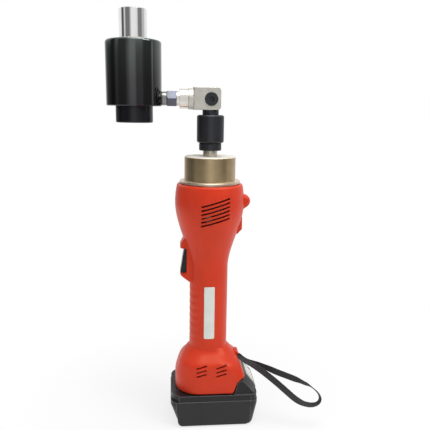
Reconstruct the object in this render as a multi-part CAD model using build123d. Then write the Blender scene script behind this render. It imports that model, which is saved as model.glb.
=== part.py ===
from build123d import *
import math
import os

# Cordless hydraulic hole punch, in millimetres. The pack stands on Z = 0 and the grip's long
# axis is the Z axis. The trigger and the ram are on the -X side, and the pack's release button,
# the retract lever and the wrist strap are on the +X side. The casing parts at Y = 0.

# Fits
running_fit = 0.05
slide_gap = 0.3
seat_gap = 0.1
parting_gap = 0.02

# Battery pack
pack_left_room = 12.15
pack_right_room = 6.85
pack_side_room = 5.0
pack_corner = 9.0
tray_rim = 6.0
tray_slant_left = 10.9
tray_slant_right = 6.1
tray_slant_side = 0.6
tray_foot_corner = 10.0
tray_corner = 12.0
tray_wall = 2.0
tray_edge = 5.0
tray_left_round = 13.0
panel_proud = 0.2
panel_left_inset = 6.6
panel_right_inset = 9.0
panel_left_slant = 3.1
panel_right_slant = 0.8
panel_base = 2.2
panel_corner = 6.5
lid_panel_inset = 10.4
hollow_foot_corner = 5.6
hollow_corner = 14.0
hollow_right_corner = 5.0
lid_height = 8.5
lid_roof = 2.9
lid_inset = 0.8
lid_side_inset = 0.2
lid_corner = 17.0
lid_wall = 2.0
lid_tab_thickness = 2.0
lid_tab_depth = 4.0
lid_tab_width = 30.0
cell_radius = 9.1
cell_length = 65.0
cell_gap = 0.3
cell_columns = 5
cell_rows = 2
cell_centre_x = 9.5
cell_nose_radius = 4.0
cell_nose = 0.8
board_thickness = 1.2
board_edge = 4.0
tray_screw_radius = 1.1
tray_screw_head_radius = 1.9
tray_screw_head = 1.4
tray_screw_length = 15.0
tray_boss_radius = 2.4
tray_boss_room = 3.45
tray_boss_y = 20.0
tray_boss_height = 11.0
tray_boss_rib = 3.0

# Pack tongue and rails
tongue_inset = 10.8
tongue_length = 43.8
tongue_neck = 38.0
tongue_width = 47.0
tongue_height = 7.2
floor_thickness = 4.8
boot_gap = 1.1
rail_gap = 0.4
contact_offset = 9.0
contact_length = 12.0
contact_slot = 3.6
contact_gap = 0.35
blade_thickness = 1.0
blade_height = 6.0

# Latch shoulder and release button
shoulder_foot_x = 31.0
shoulder_knee_x = 36.4
shoulder_knee_rise = 14.9
shoulder_rise = 20.9
shoulder_top_left = 45.0
shoulder_top_right = 47.3
shoulder_end_rise = 2.1
shoulder_width = 72.0
shoulder_crest_width = 40.0
shoulder_hip_x = 4.4
shoulder_hip_z = 2.7
notch_gap = 0.7
button_left = 49.8
button_length = 10.8
button_width = 30.0
button_proud = 0.3
button_sink = 1.7
button_edge = 0.8
button_travel = 2.2
latch_spring_radius = 3.6
latch_spring_wire = 0.5
latch_spring_turns = 3

# Casing
wall = 2.6
grip_half_depth = 24.2
grip_half_width = 21.5
grip_length = 104.2
belly_radius = 42.8
head_flare = 84.0
rim_radius = 40.2
head_rise = 23.5
rim_edge = 3.0
casing_lip = 3.6
head_steps = 9
boot_left = 42.6
boot_right = 46.9
boot_half_width = 35.2
boot_left_corner = 31.0
boot_right_corner = 11.0
boot_dome_corner = 26.2
boot_dome_share = 0.7
boot_skirt = 17.4
boot_dome_height = 36.8
boot_left_power = 1.39
boot_right_power = 1.31
boot_crest_start = 18.0
boot_crest_end = 36.0
boot_tuck = 0.6
boot_shares = (0.1, 0.2, 0.35, 0.49, 0.6, 0.7, 0.8, 0.9, 0.96, 1.0)
boot_inner_share = 0.92
shelf_thickness = 2.8
rear_lug_sink = 0.5
rear_lug_rise = 1.4
rear_lug_radius = 8.3
rear_lug_width = 15.0
rear_web_drop = 10.2
rear_web_inset = 2.6
rear_web_radius = 1.6
strap_lug_x = 37.4
strap_lug_drop = 13.2
strap_lug_radius = 2.8
strap_lug_width = 14.0
ripple_count = 7
ripple_pitch = 9.5
ripple_drop = 31.0
ripple_radius = 7.0
ripple_depth = 0.7

# Vents
head_vent_count = 6
head_vent_pitch = 4.75
head_vent_rise = 5.2
head_vent_x = 4.4
head_vent_length = 35.0
head_vent_width = 2.0
vent_tilt = 16.0
boot_vent_count = 3
boot_vent_pitch = 5.4
boot_vent_rise = 18.9
boot_vent_length = 13.4
boot_vent_width = 1.9
boot_vent_x = (-9.9, 15.2)

# Label plate
label_x = -0.2
label_rise = 49.4
label_width = 13.2
label_height = 69.0
label_proud = 0.25
label_depth = 0.5
label_corner = 1.5

# Trigger
lip_reach = 36.4
pod_width = 21.0
pod_corner = 6.0
pod_over = 9.4
pod_under = 11.1
pod_root = 18.0
lip_crest = 31.8
lip_over = 2.0
lower_lip_crest = 25.0
lower_lip = 2.5
trigger_hub_drop = 3.1
trigger_toe_gap = 1.2
window_back = 28.5
trigger_width = 14.0
trigger_pivot_x = -30.5
trigger_pivot_rise = 29.8
trigger_hub = 3.0
trigger_pin_radius = 1.5
trigger_face_top = 31.2
trigger_brow = 33.2
trigger_brow_drop = 13.6
trigger_chin = 35.0
trigger_chin_drop = 26.6
trigger_face = 36.2
trigger_length = 33.9
trigger_toe_edge = 1.2
trigger_back = 28.0
trigger_rib_depth = 2.6
trigger_rib_width = 8.0
trigger_rib_height = 8.0
switch_front = 16.0
switch_length = 26.0
switch_width = 18.0
switch_height = 28.0
switch_gap = 1.7
switch_nose = 4.2
switch_nose_width = 8.0
switch_nose_height = 5.0

# Retract lever
lever_width = 12.0
lever_pivot_x = 37.2
lever_pivot_drop = 22.4
lever_pin_radius = 1.1
lever_over = 3.6
lever_face_x = 40.7
lever_heel_drop = 11.4
lever_tip_x = 34.6
lever_length = 18.0
lever_back_x = 33.0
lever_tip_gap = 1.0
lever_top_gap = 1.0
lever_window_x = 28.6
pin_overlap = 3.0
valve_gap = 1.0
valve_radius = 3.9
valve_length = 20.0
valve_pin_radius = 1.4
valve_pin_reach = 0.6

# Hydraulic block and lock ring
collar_step = 1.75
collar_height = 29.5
collar_edge = 1.0
neck_radius = 33.0
flange_reach = 3.0
flange_height = 6.0
shank_step = 3.0
shank_length = 34.8
ring_wall = 4.2
ring_height = 2.4
ring_step_wall = 2.0
ring_step = 1.2
oil_bore = 2.5
bladder_thickness = 5.6
bladder_height = 17.0
bladder_rise = 3.0
bladder_window = 14.0

# Pump
pump_rise = 12.0
chamber_radius = 15.0
chamber_depth = 20.0
pilot_depth = 4.8
plunger_radius = 4.0
plunger_head_radius = 6.0
plunger_head = 2.0
plunger_gap = 0.8
spring_pocket_radius = 6.6
spring_pocket_wall = 8.0
plunger_spring_wire = 0.8
plunger_spring_turns = 5
plug_radius = 5.0
plug_depth = 2.6
plug_proud = 3.0
plug_socket = 2.5
relief_depth = 10.0

# Gears
gear_module = 0.8
pressure_angle = 20.0
sun_teeth = 12
planet_teeth = 15
ring_teeth = 42
planet_count = 3
backlash = 0.12
addendum = 0.9
dedendum = 1.25
flank_steps = 4
gear_lift = 4.0
gear_width = 8.0
ring_gear_wall = 2.7
ring_gear_foot = 2.0
ring_gear_foot_radius = 15.5
carrier_side_gap = 1.08
carrier_thickness = 4.0
carrier_gap = 0.4
carrier_room = 1.6
planet_pin_radius = 1.5
carrier_shaft_radius = 4.4
eccentric_radius = 6.0
eccentric_throw = 1.5
bearing_radius = 10.0
bearing_width = 9.0

# Motor
motor_radius = 18.2
motor_length = 42.0
motor_wall = 1.2
motor_plate = 1.4
end_cap_height = 6.0
shaft_radius = 1.6
shaft_tail = 1.5
motor_bearing_radius = 5.0
motor_bearing_width = 3.6
stack_radius = 12.6
stack_lift = 10.0
stack_room = 8.0
stack_slots = 5
stack_slot_width = 3.0
stack_slot_depth = 5.0
commutator_radius = 5.2
commutator_height = 6.5
magnet_thickness = 3.6
magnet_over = 1.0
magnet_gap_half = 6.0
brush_length = 5.6
brush_width = 4.4
brush_height = 4.0

# Control board, terminals and leads
pcb_rise = 11.6
pcb_left = -17.0
pcb_right = 21.0
pcb_thickness = 1.6
chip_size = 12.0
chip_height = 4.0
terminal_inset = 3.2
terminal_width = 34.0
terminal_height = 12.0
lead_radius = 1.3
# Leads: x, y and height over the boot's bulge
lead_route = (
    (-34.4, 9.0, 6.0),
    (-32.0, 9.0, 16.0),
    (-24.0, 8.5, 24.0),
    (-15.0, 8.0, 33.0),
    (-11.0, 7.0, 50.0),
    (-9.0, 6.0, 68.0),
    (-8.0, 5.0, 88.0),
)
lead_bend = 4.0

# Casing screws: x of each, and its height over the boot, over the boot's bulge or under the belly
grip_screws = ((17.0, 21.2), (17.0, 61.2), (-16.0, 21.2), (-16.0, 61.2))
boot_screws = ((27.0, 15.0), (-22.0, 16.5))
head_screws = ((-30.0, 29.0), (24.0, 47.0))
screw_radius = 1.5
screw_head_radius = 2.8
screw_head = 2.2
screw_socket_radius = 1.3
screw_socket_depth = 1.4
screw_grip = 8.0
screw_recess = 6.5
boss_radius = 3.4

# Coupler
nipple_radius = 8.7
nipple_foot_radius = 7.0
nipple_foot = 12.0
nipple_reach = 21.7
nipple_show = 7.0
coupler_ring_step = 1.2
coupler_ring = 8.8
ball_cover = 0.1
coupler_waist_step = 1.4
coupler_neck_radius = 9.85
coupler_spigot_radius = 8.0
coupler_spigot = 5.5
ball_radius = 2.4
ball_count = 6
ball_rise = 12.7
ball_gap = 0.2
groove_depth = 1.4
sleeve_wall = 1.8
sleeve_base_gap = 0.4
sleeve_length = 33.0
sleeve_land = 11.4
sleeve_spring_room = 2.2
sleeve_edge = 1.6
stop_ring_thickness = 1.4
stop_ring_drop = 3.3
stop_ring_bite = 0.6
sleeve_spring_wire = 1.3
sleeve_spring_turns = 6

# Elbow
coupler_neck_show = 5.8
elbow_left = -20.9
elbow_right = 11.3
elbow_half = 12.6
elbow_rise = 13.7
elbow_edge = 2.0
elbow_collar_radius = 12.4
elbow_collar = 5.7
elbow_bore_radius = 7.0
elbow_bore_end = -7.0
elbow_plug_radius = 7.9
elbow_plug_head = 1.6
elbow_plug_shank_radius = 5.6
elbow_plug_shank = 6.0
elbow_plug_socket = 3.2
elbow_plug_socket_depth = 4.0

# Ram inlet
stub_flange_radius = 11.8
stub_flange = 10.5
stub_ring_radius = 8.8
stub_ring = 3.4
stub_shank_radius = 5.0
stub_bore = 2.2
nut_size = 17.4
nut_thickness = 11.3
nut_edge = 1.0
washer_radius = 8.1
washer_thickness = 5.9
inlet_pad_radius = 8.2
inlet_depth = 6.6

# Ram
inlet_pad_show = 0.2
ram_wall = 8.4
inlet_rise = 9.3
ram_length = 73.5
ram_edge = 2.5
ram_bore = 24.0
ram_roof = 9.5
gallery_radius = 1.8
ram_cap_wall = 6.4
ram_cap_height = 19.2
end_cap_edge = 1.6
end_cap_spigot = 10.0
spring_chamber_radius = 15.4
spring_chamber_floor = 5.2
vent_hole_radius = 1.5
rod_radius = 16.2
rod_show = 34.7
rod_edge = 0.9
piston_room = 8.0
piston_height = 18.0
seal_groove = 3.6
seal_depth = 2.4
stud_hole_radius = 9.5
stud_hole_depth = 25.0
wiper_width = 1.6
wiper_height = 5.4
wiper_proud = 2.6
ram_spring_gap = 1.6
ram_spring_wire = 2.8
ram_spring_turns = 7

# Wrist strap: a loop of webbing out of the strap lug and back
strap_tube = 4.4
strap_route = (
    (41.6, -1.5, 81.8),
    (46.0, -4.4, 78.2),
    (52.0, -8.0, 76.0),
    (58.5, -13.2, 75.6),
    (67.2, -21.5, 76.0),
    (76.5, -29.5, 74.8),
    (86.0, -35.5, 72.6),
    (97.0, -39.5, 69.8),
    (110.0, -41.5, 65.0),
    (124.0, -43.0, 58.6),
    (135.4, -44.0, 51.0),
    (141.8, -45.0, 42.4),
    (141.2, -46.0, 35.2),
    (134.6, -47.0, 31.6),
    (123.0, -48.0, 33.0),
    (109.6, -49.5, 40.8),
    (96.4, -49.5, 53.4),
    (84.4, -46.5, 63.8),
    (74.0, -39.5, 70.4),
    (65.2, -31.5, 74.8),
    (57.6, -23.0, 76.8),
    (50.2, -14.8, 77.2),
    (43.0, -7.8, 80.0),
)

# Pack: places that follow from the sizes
cell_pitch = 2 * cell_radius + cell_gap
cells_left = cell_centre_x - cell_pitch * cell_columns / 2
cells_right = cell_centre_x + cell_pitch * cell_columns / 2
cell_top = tray_wall + seat_gap + 2 * cell_radius + cell_pitch * (cell_rows - 1)
board_base = cell_top + slide_gap
lid_ceiling = board_base + board_thickness + slide_gap
ledge_z = lid_ceiling + lid_roof
tray_height = ledge_z - lid_height
tray_slant_top = tray_height - tray_rim
tray_boss_x = cells_left - tray_boss_room
tray_boss_base = tray_height - tray_boss_height
screw_seat_z = ledge_z - tray_screw_head - slide_gap
screw_end_z = screw_seat_z - tray_screw_length - seat_gap
pack_left = cells_left - pack_left_room
pack_right = cells_right + pack_right_room
pack_half_width = cell_length / 2 + pack_side_room
tray_slant_angle = math.atan2(tray_slant_right, tray_slant_top)
tray_round_x = cells_right - cell_pitch / 2
tray_foot_right = pack_right - tray_slant_right
tray_round = (tray_foot_right - tray_round_x) * math.cos(tray_slant_angle) / (1 - math.sin(tray_slant_angle))
tray_round_top = tray_round * (1 - math.sin(tray_slant_angle))
tray_left_angle = math.atan2(tray_slant_left, tray_slant_top)
tray_left_round_top = tray_left_round * (1 - math.sin(tray_left_angle))
tray_left_round_x = pack_left + tray_slant_left + tray_left_round_top / math.cos(tray_left_angle)
panel_left = pack_left + panel_left_inset
panel_right = pack_right - panel_right_inset
panel_half_width = pack_half_width + panel_proud
lid_left = pack_left + lid_inset
lid_right = pack_right - lid_inset
shoulder_knee_z = ledge_z + shoulder_knee_rise
shoulder_top_z = ledge_z + shoulder_rise
shoulder_end_z = ledge_z + shoulder_end_rise
shoulder_slope = (shoulder_top_z - shoulder_end_z) / (lid_right - shoulder_top_right)
button_floor = ledge_z - button_sink
latch_spring_solid = latch_spring_wire * (latch_spring_turns + 1)
button_base = button_floor + button_travel + latch_spring_solid + seat_gap

# Casing: places that follow
boot_base = ledge_z + boot_gap
floor_top = boot_base + floor_thickness
boot_bulge_z = boot_base + boot_skirt
boot_top = boot_bulge_z + boot_dome_height
waist_z = boot_top + grip_length
belly_z = waist_z + head_flare
rim_z = belly_z + head_rise
tongue_left = tongue_inset - boot_left
tongue_right = tongue_left + tongue_length
tongue_base = floor_top + rail_gap
tongue_top = tongue_base + tongue_height
terminal_left = wall + slide_gap + terminal_inset - boot_left
terminal_right = tongue_left - slide_gap
terminal_base = floor_top + seat_gap
terminal_top = terminal_base + terminal_height
pcb_z = boot_bulge_z + pcb_rise
boot_vent_top_z = boot_bulge_z + boot_vent_rise
strap_lug_z = boot_top - strap_lug_drop
label_z = boot_top + label_rise
ripple_top_z = waist_z - ripple_drop
rear_lug_x = belly_radius - rear_lug_sink
rear_lug_z = belly_z + rear_lug_rise
head_vent_top_z = belly_z + head_vent_rise
screw_places = [(x, boot_top + rise) for x, rise in grip_screws]
screw_places += [(x, boot_bulge_z + rise) for x, rise in boot_screws]
screw_places += [(x, belly_z - depth) for x, depth in head_screws]

# Hydraulic block and pump: places that follow
lip_base = rim_z - casing_lip
flange_top = lip_base - seat_gap
flange_radius = neck_radius + flange_reach
shank_radius = neck_radius - shank_step
shank_base = flange_top - shank_length
ring_radius = neck_radius + ring_wall
ring_step_radius = neck_radius + ring_step_wall
ring_base = rim_z + seat_gap
ring_top = ring_base + ring_step + ring_height
collar_radius = neck_radius - collar_step
collar_top = ring_top + collar_height
chamber_top = shank_base + chamber_depth
pump_z = shank_base + pump_rise
bladder_base = shank_base + bladder_rise
plunger_start = eccentric_throw + bearing_radius + seat_gap
plunger_end = shank_radius - plug_depth - plunger_gap
spring_pocket_end = shank_radius - spring_pocket_wall

# Gears and motor: places that follow
orbit_radius = gear_module * (sun_teeth + planet_teeth) / 2
ring_pitch_radius = gear_module * ring_teeth / 2
ring_gear_radius = ring_pitch_radius + dedendum * gear_module + ring_gear_wall
carrier_radius = ring_pitch_radius - addendum * gear_module - carrier_side_gap
carrier_top = shank_base - carrier_room
carrier_base = carrier_top - carrier_thickness
gear_top = carrier_base - carrier_gap
gear_base = gear_top - gear_width
carrier_shaft_top = chamber_top + pilot_depth - seat_gap
motor_top = gear_base - gear_lift
motor_base = motor_top - motor_length
stack_base = motor_base + stack_lift
stack_height = motor_length - stack_lift - stack_room
magnet_base = stack_base - magnet_over
magnet_top = stack_base + stack_height + magnet_over
end_cap_bottom = motor_base - end_cap_height
valve_x = ring_gear_radius + valve_radius + valve_gap

# Switch, trigger and lever: places that follow
switch_top = end_cap_bottom - shaft_tail - switch_gap
switch_base = switch_top - switch_height
shelf_z = switch_base - shelf_thickness
trigger_pivot_z = switch_top + trigger_pivot_rise
trigger_brow_z = trigger_pivot_z - trigger_brow_drop
trigger_chin_z = trigger_pivot_z - trigger_chin_drop
trigger_toe = trigger_pivot_z - trigger_length
window_top = trigger_pivot_z - trigger_hub_drop
window_bottom = trigger_toe - trigger_toe_gap
pod_top = trigger_pivot_z + pod_over
pod_bottom = window_bottom - pod_under
lip_shoulder = trigger_pivot_z + lip_over
lower_lip_shoulder = window_bottom - lower_lip
lever_pivot_z = belly_z - lever_pivot_drop
lever_top_z = lever_pivot_z + lever_over
lever_heel_z = lever_pivot_z - lever_heel_drop
lever_tip_z = lever_pivot_z - lever_length
lever_window_bottom = lever_tip_z - lever_tip_gap
lever_window_top = lever_top_z + lever_top_gap

# Coupler and elbow: places that follow
coupler_base = collar_top + nipple_show
nipple_top = coupler_base + nipple_reach
ball_z = coupler_base + ball_rise
ball_orbit = nipple_radius - groove_depth + ball_radius + ball_gap
coupler_body_radius = ball_orbit + ball_radius + ball_cover
coupler_ring_radius = coupler_body_radius + coupler_ring_step
coupler_waist_radius = coupler_body_radius - coupler_waist_step
sleeve_bore = coupler_body_radius + sleeve_spring_room
sleeve_radius = sleeve_bore + sleeve_wall
sleeve_spring_radius = (coupler_waist_radius + sleeve_bore) / 2
sleeve_base = coupler_base + coupler_ring + sleeve_base_gap
sleeve_top = sleeve_base + sleeve_length
sleeve_land_top = sleeve_base + sleeve_land
stop_ring_top = sleeve_top - stop_ring_drop
stop_ring_base = stop_ring_top - stop_ring_thickness
elbow_base = sleeve_top + coupler_neck_show
inlet_z = elbow_base + elbow_half
elbow_face = elbow_left - elbow_collar

# Ram: places that follow
stub_face = elbow_face - slide_gap
stub_flange_end = stub_face - stub_flange
stub_ring_end = stub_flange_end - stub_ring
nut_end = stub_ring_end - nut_thickness
washer_end = nut_end - washer_thickness
ram_radius = ram_bore + ram_wall
ram_x = washer_end - inlet_pad_show - ram_radius
ram_base = inlet_z - inlet_rise
ram_top = ram_base + ram_length
rod_top = ram_top + rod_show
piston_top = ram_top - ram_roof - piston_room
piston_base = piston_top - piston_height
end_cap_base = ram_base - ram_cap_height
end_cap_radius = spring_chamber_radius + ram_cap_wall
chamber_floor_z = end_cap_base + spring_chamber_floor
ram_spring_radius = spring_chamber_radius - ram_spring_gap - ram_spring_wire / 2


def block(x0, x1, y0, y1, z0, z1):
    return Pos((x0 + x1) / 2, (y0 + y1) / 2, (z0 + z1) / 2) * Box(x1 - x0, y1 - y0, z1 - z0)


def rod_z(radius, z0, z1, x=0.0, y=0.0):
    return Pos(x, y, (z0 + z1) / 2) * Cylinder(radius, z1 - z0)


def rod_x(radius, x0, x1, y=0.0, z=0.0):
    return Pos((x0 + x1) / 2, y, z) * Rot(0, 90, 0) * Cylinder(radius, x1 - x0)


def rod_y(radius, y0, y1, x=0.0, z=0.0):
    return Pos(x, (y0 + y1) / 2, z) * Rot(90, 0, 0) * Cylinder(radius, y1 - y0)


def ring_z(outer, inner, z0, z1, x=0.0, y=0.0):
    return rod_z(outer, z0, z1, x, y) - rod_z(inner, z0 - 1, z1 + 1, x, y)


def slab(points, half_width):
    """A prism with its outline in the XZ plane, centred on Y = 0."""
    return extrude(Plane.XZ * Polygon(*points, align=None), half_width, both=True)


def plan_outline(left, right, half_width, left_corner, right_corner):
    """A rectangle in plan with its own corner radius at each end."""
    outline = Pos((left + right) / 2, 0) * Rectangle(right - left, 2 * half_width)
    outline = fillet(outline.vertices().group_by(Axis.X)[0], left_corner)
    return fillet(outline.vertices().group_by(Axis.X)[-1], right_corner)


def turned(points):
    """A solid turned about the Z axis from (radius, z) points."""
    return revolve(Plane.XZ * Polygon(*points, align=None), Axis.Z)


def coil(radius, wire, z0, z1, turns):
    """An open coil spring along Z, between two faces."""
    length = z1 - z0 - wire
    path = Pos(0, 0, z0 + wire / 2) * Helix(length / turns, length, radius)
    start = Plane(path @ 0, z_dir=path % 0)
    return sweep(start * Circle(wire / 2), path=path, is_frenet=True)


def bend_radii(points):
    """The largest arc that each corner's two runs allow."""
    places = [Vector(*point) for point in points]
    radii = []
    for before, corner, after in zip(places, places[1:], places[2:]):
        run_in = corner - before
        run_out = after - corner
        turn = math.radians(run_in.get_angle(run_out))
        radii.append(0.45 * min(run_in.length, run_out.length) / math.tan(turn / 2))
    return radii


def cable(points, radius, radii):
    """A round tube along straight runs with an arc at each corner."""
    path = FilletPolyline(*points, radius=radii)
    start = Plane(path @ 0, z_dir=path % 0)
    return sweep(start * Circle(radius), path=path)


# Battery pack

def tray_screw_places():
    return [(tray_boss_x, side * tray_boss_y) for side in (-1, 1)]


def cell_places():
    first_x = cell_centre_x - cell_pitch * (cell_columns - 1) / 2
    first_z = tray_wall + seat_gap + cell_radius
    return [(first_x + i * cell_pitch, first_z + j * cell_pitch)
            for j in range(cell_rows) for i in range(cell_columns)]


def tray_solid(inset, top, foot_corner, head_corner, right_corner):
    """A slanted foot with an upright rim over it."""
    left = pack_left + inset
    right = pack_right - inset
    side = pack_half_width - inset
    foot = plan_outline(left + tray_slant_left, right - tray_slant_right, side - tray_slant_side,
                        foot_corner, right_corner)
    head = plan_outline(left, right, side, head_corner, right_corner)
    slant = loft(Sketch() + Pos(0, 0, inset) * foot + Pos(0, 0, tray_slant_top) * head, ruled=True)
    return slant + extrude(Pos(0, 0, tray_slant_top) * head, top - tray_slant_top)


def foot_waste(inset):
    """What lies outside the round lower edges at the two ends."""
    side = pack_half_width + 1
    right = block(tray_round_x, pack_right + 1, -side, side, -1, tray_round_top)
    right -= rod_y(tray_round - inset, -side, side, tray_round_x, tray_round)
    left = block(pack_left - 1, tray_left_round_x, -side, side, -1, tray_left_round_top)
    left -= rod_y(tray_left_round - inset, -side, side, tray_left_round_x, tray_left_round)
    return right + left


def tray_panels():
    """Flat panels on the tray's long sides, with rounded lower corners."""
    outline = Polygon(
        (panel_left, tray_height),
        (panel_left + panel_left_slant, panel_base),
        (panel_right - panel_right_slant, panel_base),
        (panel_right, tray_height),
        align=None,
    )
    outline = fillet(outline.vertices().group_by(Axis.Y)[0], panel_corner)
    return extrude(Plane.XZ * outline, panel_half_width, both=True)


def tray_boss(x, y):
    half = tray_boss_rib / 2
    boss = rod_z(tray_boss_radius, tray_boss_base, tray_height, x, y)
    return boss + block(pack_left, x, y - half, y + half, tray_boss_base, tray_height)


def battery_tray():
    outer = tray_solid(0, tray_height, tray_foot_corner, tray_corner, pack_corner)
    outer = fillet(outer.faces().sort_by(Axis.Z)[0].edges(), tray_edge)
    outer = outer - foot_waste(0) + tray_panels()
    hollow = tray_solid(tray_wall, tray_height + 1, hollow_foot_corner, hollow_corner, hollow_right_corner)
    tray = outer - (hollow - foot_waste(tray_wall))
    for x, y in tray_screw_places():
        tray += tray_boss(x, y) & outer
    for x, y in tray_screw_places():
        tray -= rod_z(tray_screw_radius + running_fit, screw_end_z, tray_height + 1, x, y)
    return tray


def shoulder_profile(grow, base, hip_x, hip_z):
    top = shoulder_top_z - hip_z + grow
    end = lid_right - hip_x + grow
    return [
        (shoulder_foot_x - grow, base),
        (shoulder_knee_x - grow, shoulder_knee_z + grow / 2),
        (shoulder_top_left - hip_x - grow, top),
        (shoulder_top_right - hip_x + grow / 2, top),
        (end, shoulder_end_z + grow / 2),
        (end, base),
    ]


def latch_shoulder(grow, base):
    """The shoulder, level along its crest and falling away to each side; grow makes room round it."""
    crest = shoulder_crest_width / 2
    side = shoulder_width / 2 + grow
    crest_points = shoulder_profile(grow, base, 0, 0)
    hip_points = shoulder_profile(grow, base, shoulder_hip_x, shoulder_hip_z)
    inner = Plane.XZ.offset(crest) * Polygon(*crest_points, align=None)
    outer = Plane.XZ.offset(side) * Polygon(*hip_points, align=None)
    hip = loft(Sketch() + inner + outer, ruled=True)
    return slab(crest_points, crest) + hip + mirror(hip, Plane.XZ)


def shoulder_hollow():
    left = shoulder_knee_x + lid_wall
    side = shoulder_crest_width / 2
    top = shoulder_knee_z - lid_wall
    return block(left, button_left - lid_wall, -side, side, lid_ceiling, top)


def button_pocket():
    left = button_left - slide_gap
    right = button_left + button_length + slide_gap
    side = button_width / 2 + slide_gap
    return block(left, right, -side, side, button_floor, shoulder_top_z + 1)


def contact_slot_cut(y):
    left = tongue_left - 1
    right = tongue_left + contact_length + seat_gap
    return block(left, right, y - contact_slot / 2, y + contact_slot / 2, tongue_base, tongue_top + 1)


def lid_tab():
    right = pack_right - tray_wall - seat_gap
    half = lid_tab_width / 2
    return block(right - lid_tab_thickness, right, -half, half, tray_height - lid_tab_depth, tray_height + 1)


def battery_lid():
    side = pack_half_width - lid_side_inset
    outline = plan_outline(lid_left, lid_right, side, lid_corner, pack_corner)
    lid = extrude(Pos(0, 0, tray_height) * outline, lid_height)
    panel_start = pack_left + lid_panel_inset
    lid += block(panel_start, panel_right, -panel_half_width, panel_half_width, tray_height, ledge_z)
    lid += lid_tab()
    neck_side = tongue_neck / 2
    lid += block(tongue_left, shoulder_knee_x, -neck_side, neck_side, ledge_z - 1, tongue_base)
    tongue_side = tongue_width / 2
    lid += block(tongue_left, tongue_right, -tongue_side, tongue_side, tongue_base, tongue_top)
    lid += latch_shoulder(0, tray_height + lid_height / 2)
    cell_side = cell_length / 2 + cell_nose + slide_gap
    hollow_left = cells_left - slide_gap
    hollow_right = cells_right + slide_gap
    lid -= block(hollow_left, hollow_right, -cell_side, cell_side, tray_height - 1, lid_ceiling)
    lid -= shoulder_hollow() + button_pocket()
    for y in (-contact_offset, contact_offset):
        lid -= contact_slot_cut(y)
    for x, y in tray_screw_places():
        lid -= rod_z(tray_screw_radius + running_fit, tray_height - 1, ledge_z + 1, x, y)
        lid -= rod_z(tray_screw_head_radius + running_fit, screw_seat_z, ledge_z + 1, x, y)
    return lid


def battery_cells():
    half = cell_length / 2
    cells = []
    for x, z in cell_places():
        can = rod_y(cell_radius, -half, half, x, z)
        nose = rod_y(cell_nose_radius, -half - cell_nose, -half + 1, x, z)
        cells.append(can + nose)
    return Compound(children=cells)


def cell_board():
    left = cells_left + board_edge
    right = cells_right - board_edge
    side = cell_length / 2 - board_edge
    return block(left, right, -side, side, board_base, board_base + board_thickness)


def battery_contacts():
    clips = []
    outer = contact_slot / 2 - seat_gap
    inner = blade_thickness / 2 + contact_gap
    left = tongue_left + slide_gap
    right = tongue_left + contact_length
    spine = right - outer + inner
    top = tongue_top - slide_gap
    for y in (-contact_offset, contact_offset):
        clip = block(left, right, y - outer, y + outer, tongue_base + running_fit, top)
        clip -= block(left - 1, spine, y - inner, y + inner, tongue_base - 1, top + 1)
        clips.append(clip)
    return Compound(children=clips)


def tray_screws():
    screws = []
    low = screw_seat_z + running_fit
    top = low + tray_screw_head
    for x, y in tray_screw_places():
        head = rod_z(tray_screw_head_radius, low, top, x, y)
        head -= rod_z(tray_screw_head_radius / 2, top - tray_screw_head / 2, top + 1, x, y)
        screws.append(head + rod_z(tray_screw_radius, low - tray_screw_length, low + seat_gap, x, y))
    return Compound(children=screws)


def release_button():
    crown = button_proud * math.hypot(1, shoulder_slope)
    left_z = shoulder_top_z - shoulder_slope * (button_left - shoulder_top_right) + crown
    right_z = left_z - shoulder_slope * button_length
    profile = [
        (button_left, button_base),
        (button_left, left_z),
        (button_left + button_length, right_z),
        (button_left + button_length, button_base),
    ]
    button = slab(profile, button_width / 2)
    return fillet(button.edges().filter_by(Axis.Y).group_by(Axis.Z)[-1], button_edge)


def latch_spring():
    x = button_left + button_length / 2
    spring = coil(latch_spring_radius, latch_spring_wire, button_floor, button_base, latch_spring_turns)
    return Pos(x, 0, 0) * spring


# Casing

def grip_half(z, waist):
    """Half breadth of the grip and the head at a height: a smooth step, then a slight draw-in."""
    if z <= waist_z:
        return waist
    if z <= belly_z:
        t = (z - waist_z) / (belly_z - waist_z)
        return waist + (belly_radius - waist) * t * t * (3 - 2 * t)
    t = (z - belly_z) / (rim_z - belly_z)
    return belly_radius - (belly_radius - rim_radius) * t * t


def head_solid(inset, top):
    sections = Sketch()
    for i in range(head_steps + 1):
        z = waist_z + (top - waist_z) * i / head_steps
        depth = grip_half(z, grip_half_depth) - inset
        width = grip_half(z, grip_half_width) - inset
        sections += Pos(0, 0, z) * Ellipse(depth, width)
    return loft(sections)


def grip_solid(inset, base):
    outline = Ellipse(grip_half_depth - inset, grip_half_width - inset)
    return extrude(Pos(0, 0, base) * outline, waist_z - base)


def boot_share(z):
    return max(0, (z - boot_bulge_z) / (boot_top - boot_bulge_z))


def boot_reach(share, full, top, power):
    return top + (full - top) * (1 - share ** power) ** (1 / power)


def boot_sizes(share):
    """Reach to the left, right and sides, and the corner at the left and right, at a share of the dome."""
    left = boot_reach(share, boot_left, grip_half_depth - boot_tuck, boot_left_power)
    right = boot_reach(share, boot_right, grip_half_depth - boot_tuck, boot_right_power)
    t = (share * boot_dome_height - boot_crest_start) / (boot_crest_end - boot_crest_start)
    t = min(1, max(0, t))
    side = boot_half_width - (boot_half_width - grip_half_width + boot_tuck) * t * t * (3 - 2 * t)
    rise = min(1, share / boot_dome_share)
    limit = side - slide_gap
    left_corner = min(boot_left_corner + (boot_dome_corner - boot_left_corner) * rise, limit)
    right_corner = min(boot_right_corner + (boot_dome_corner - boot_right_corner) * rise, limit)
    return left, right, side, left_corner, right_corner


def boot_section(share, inset):
    left, right, side, left_corner, right_corner = boot_sizes(share)
    return plan_outline(inset - left, right - inset, side - inset, left_corner - inset, right_corner - inset)


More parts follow.
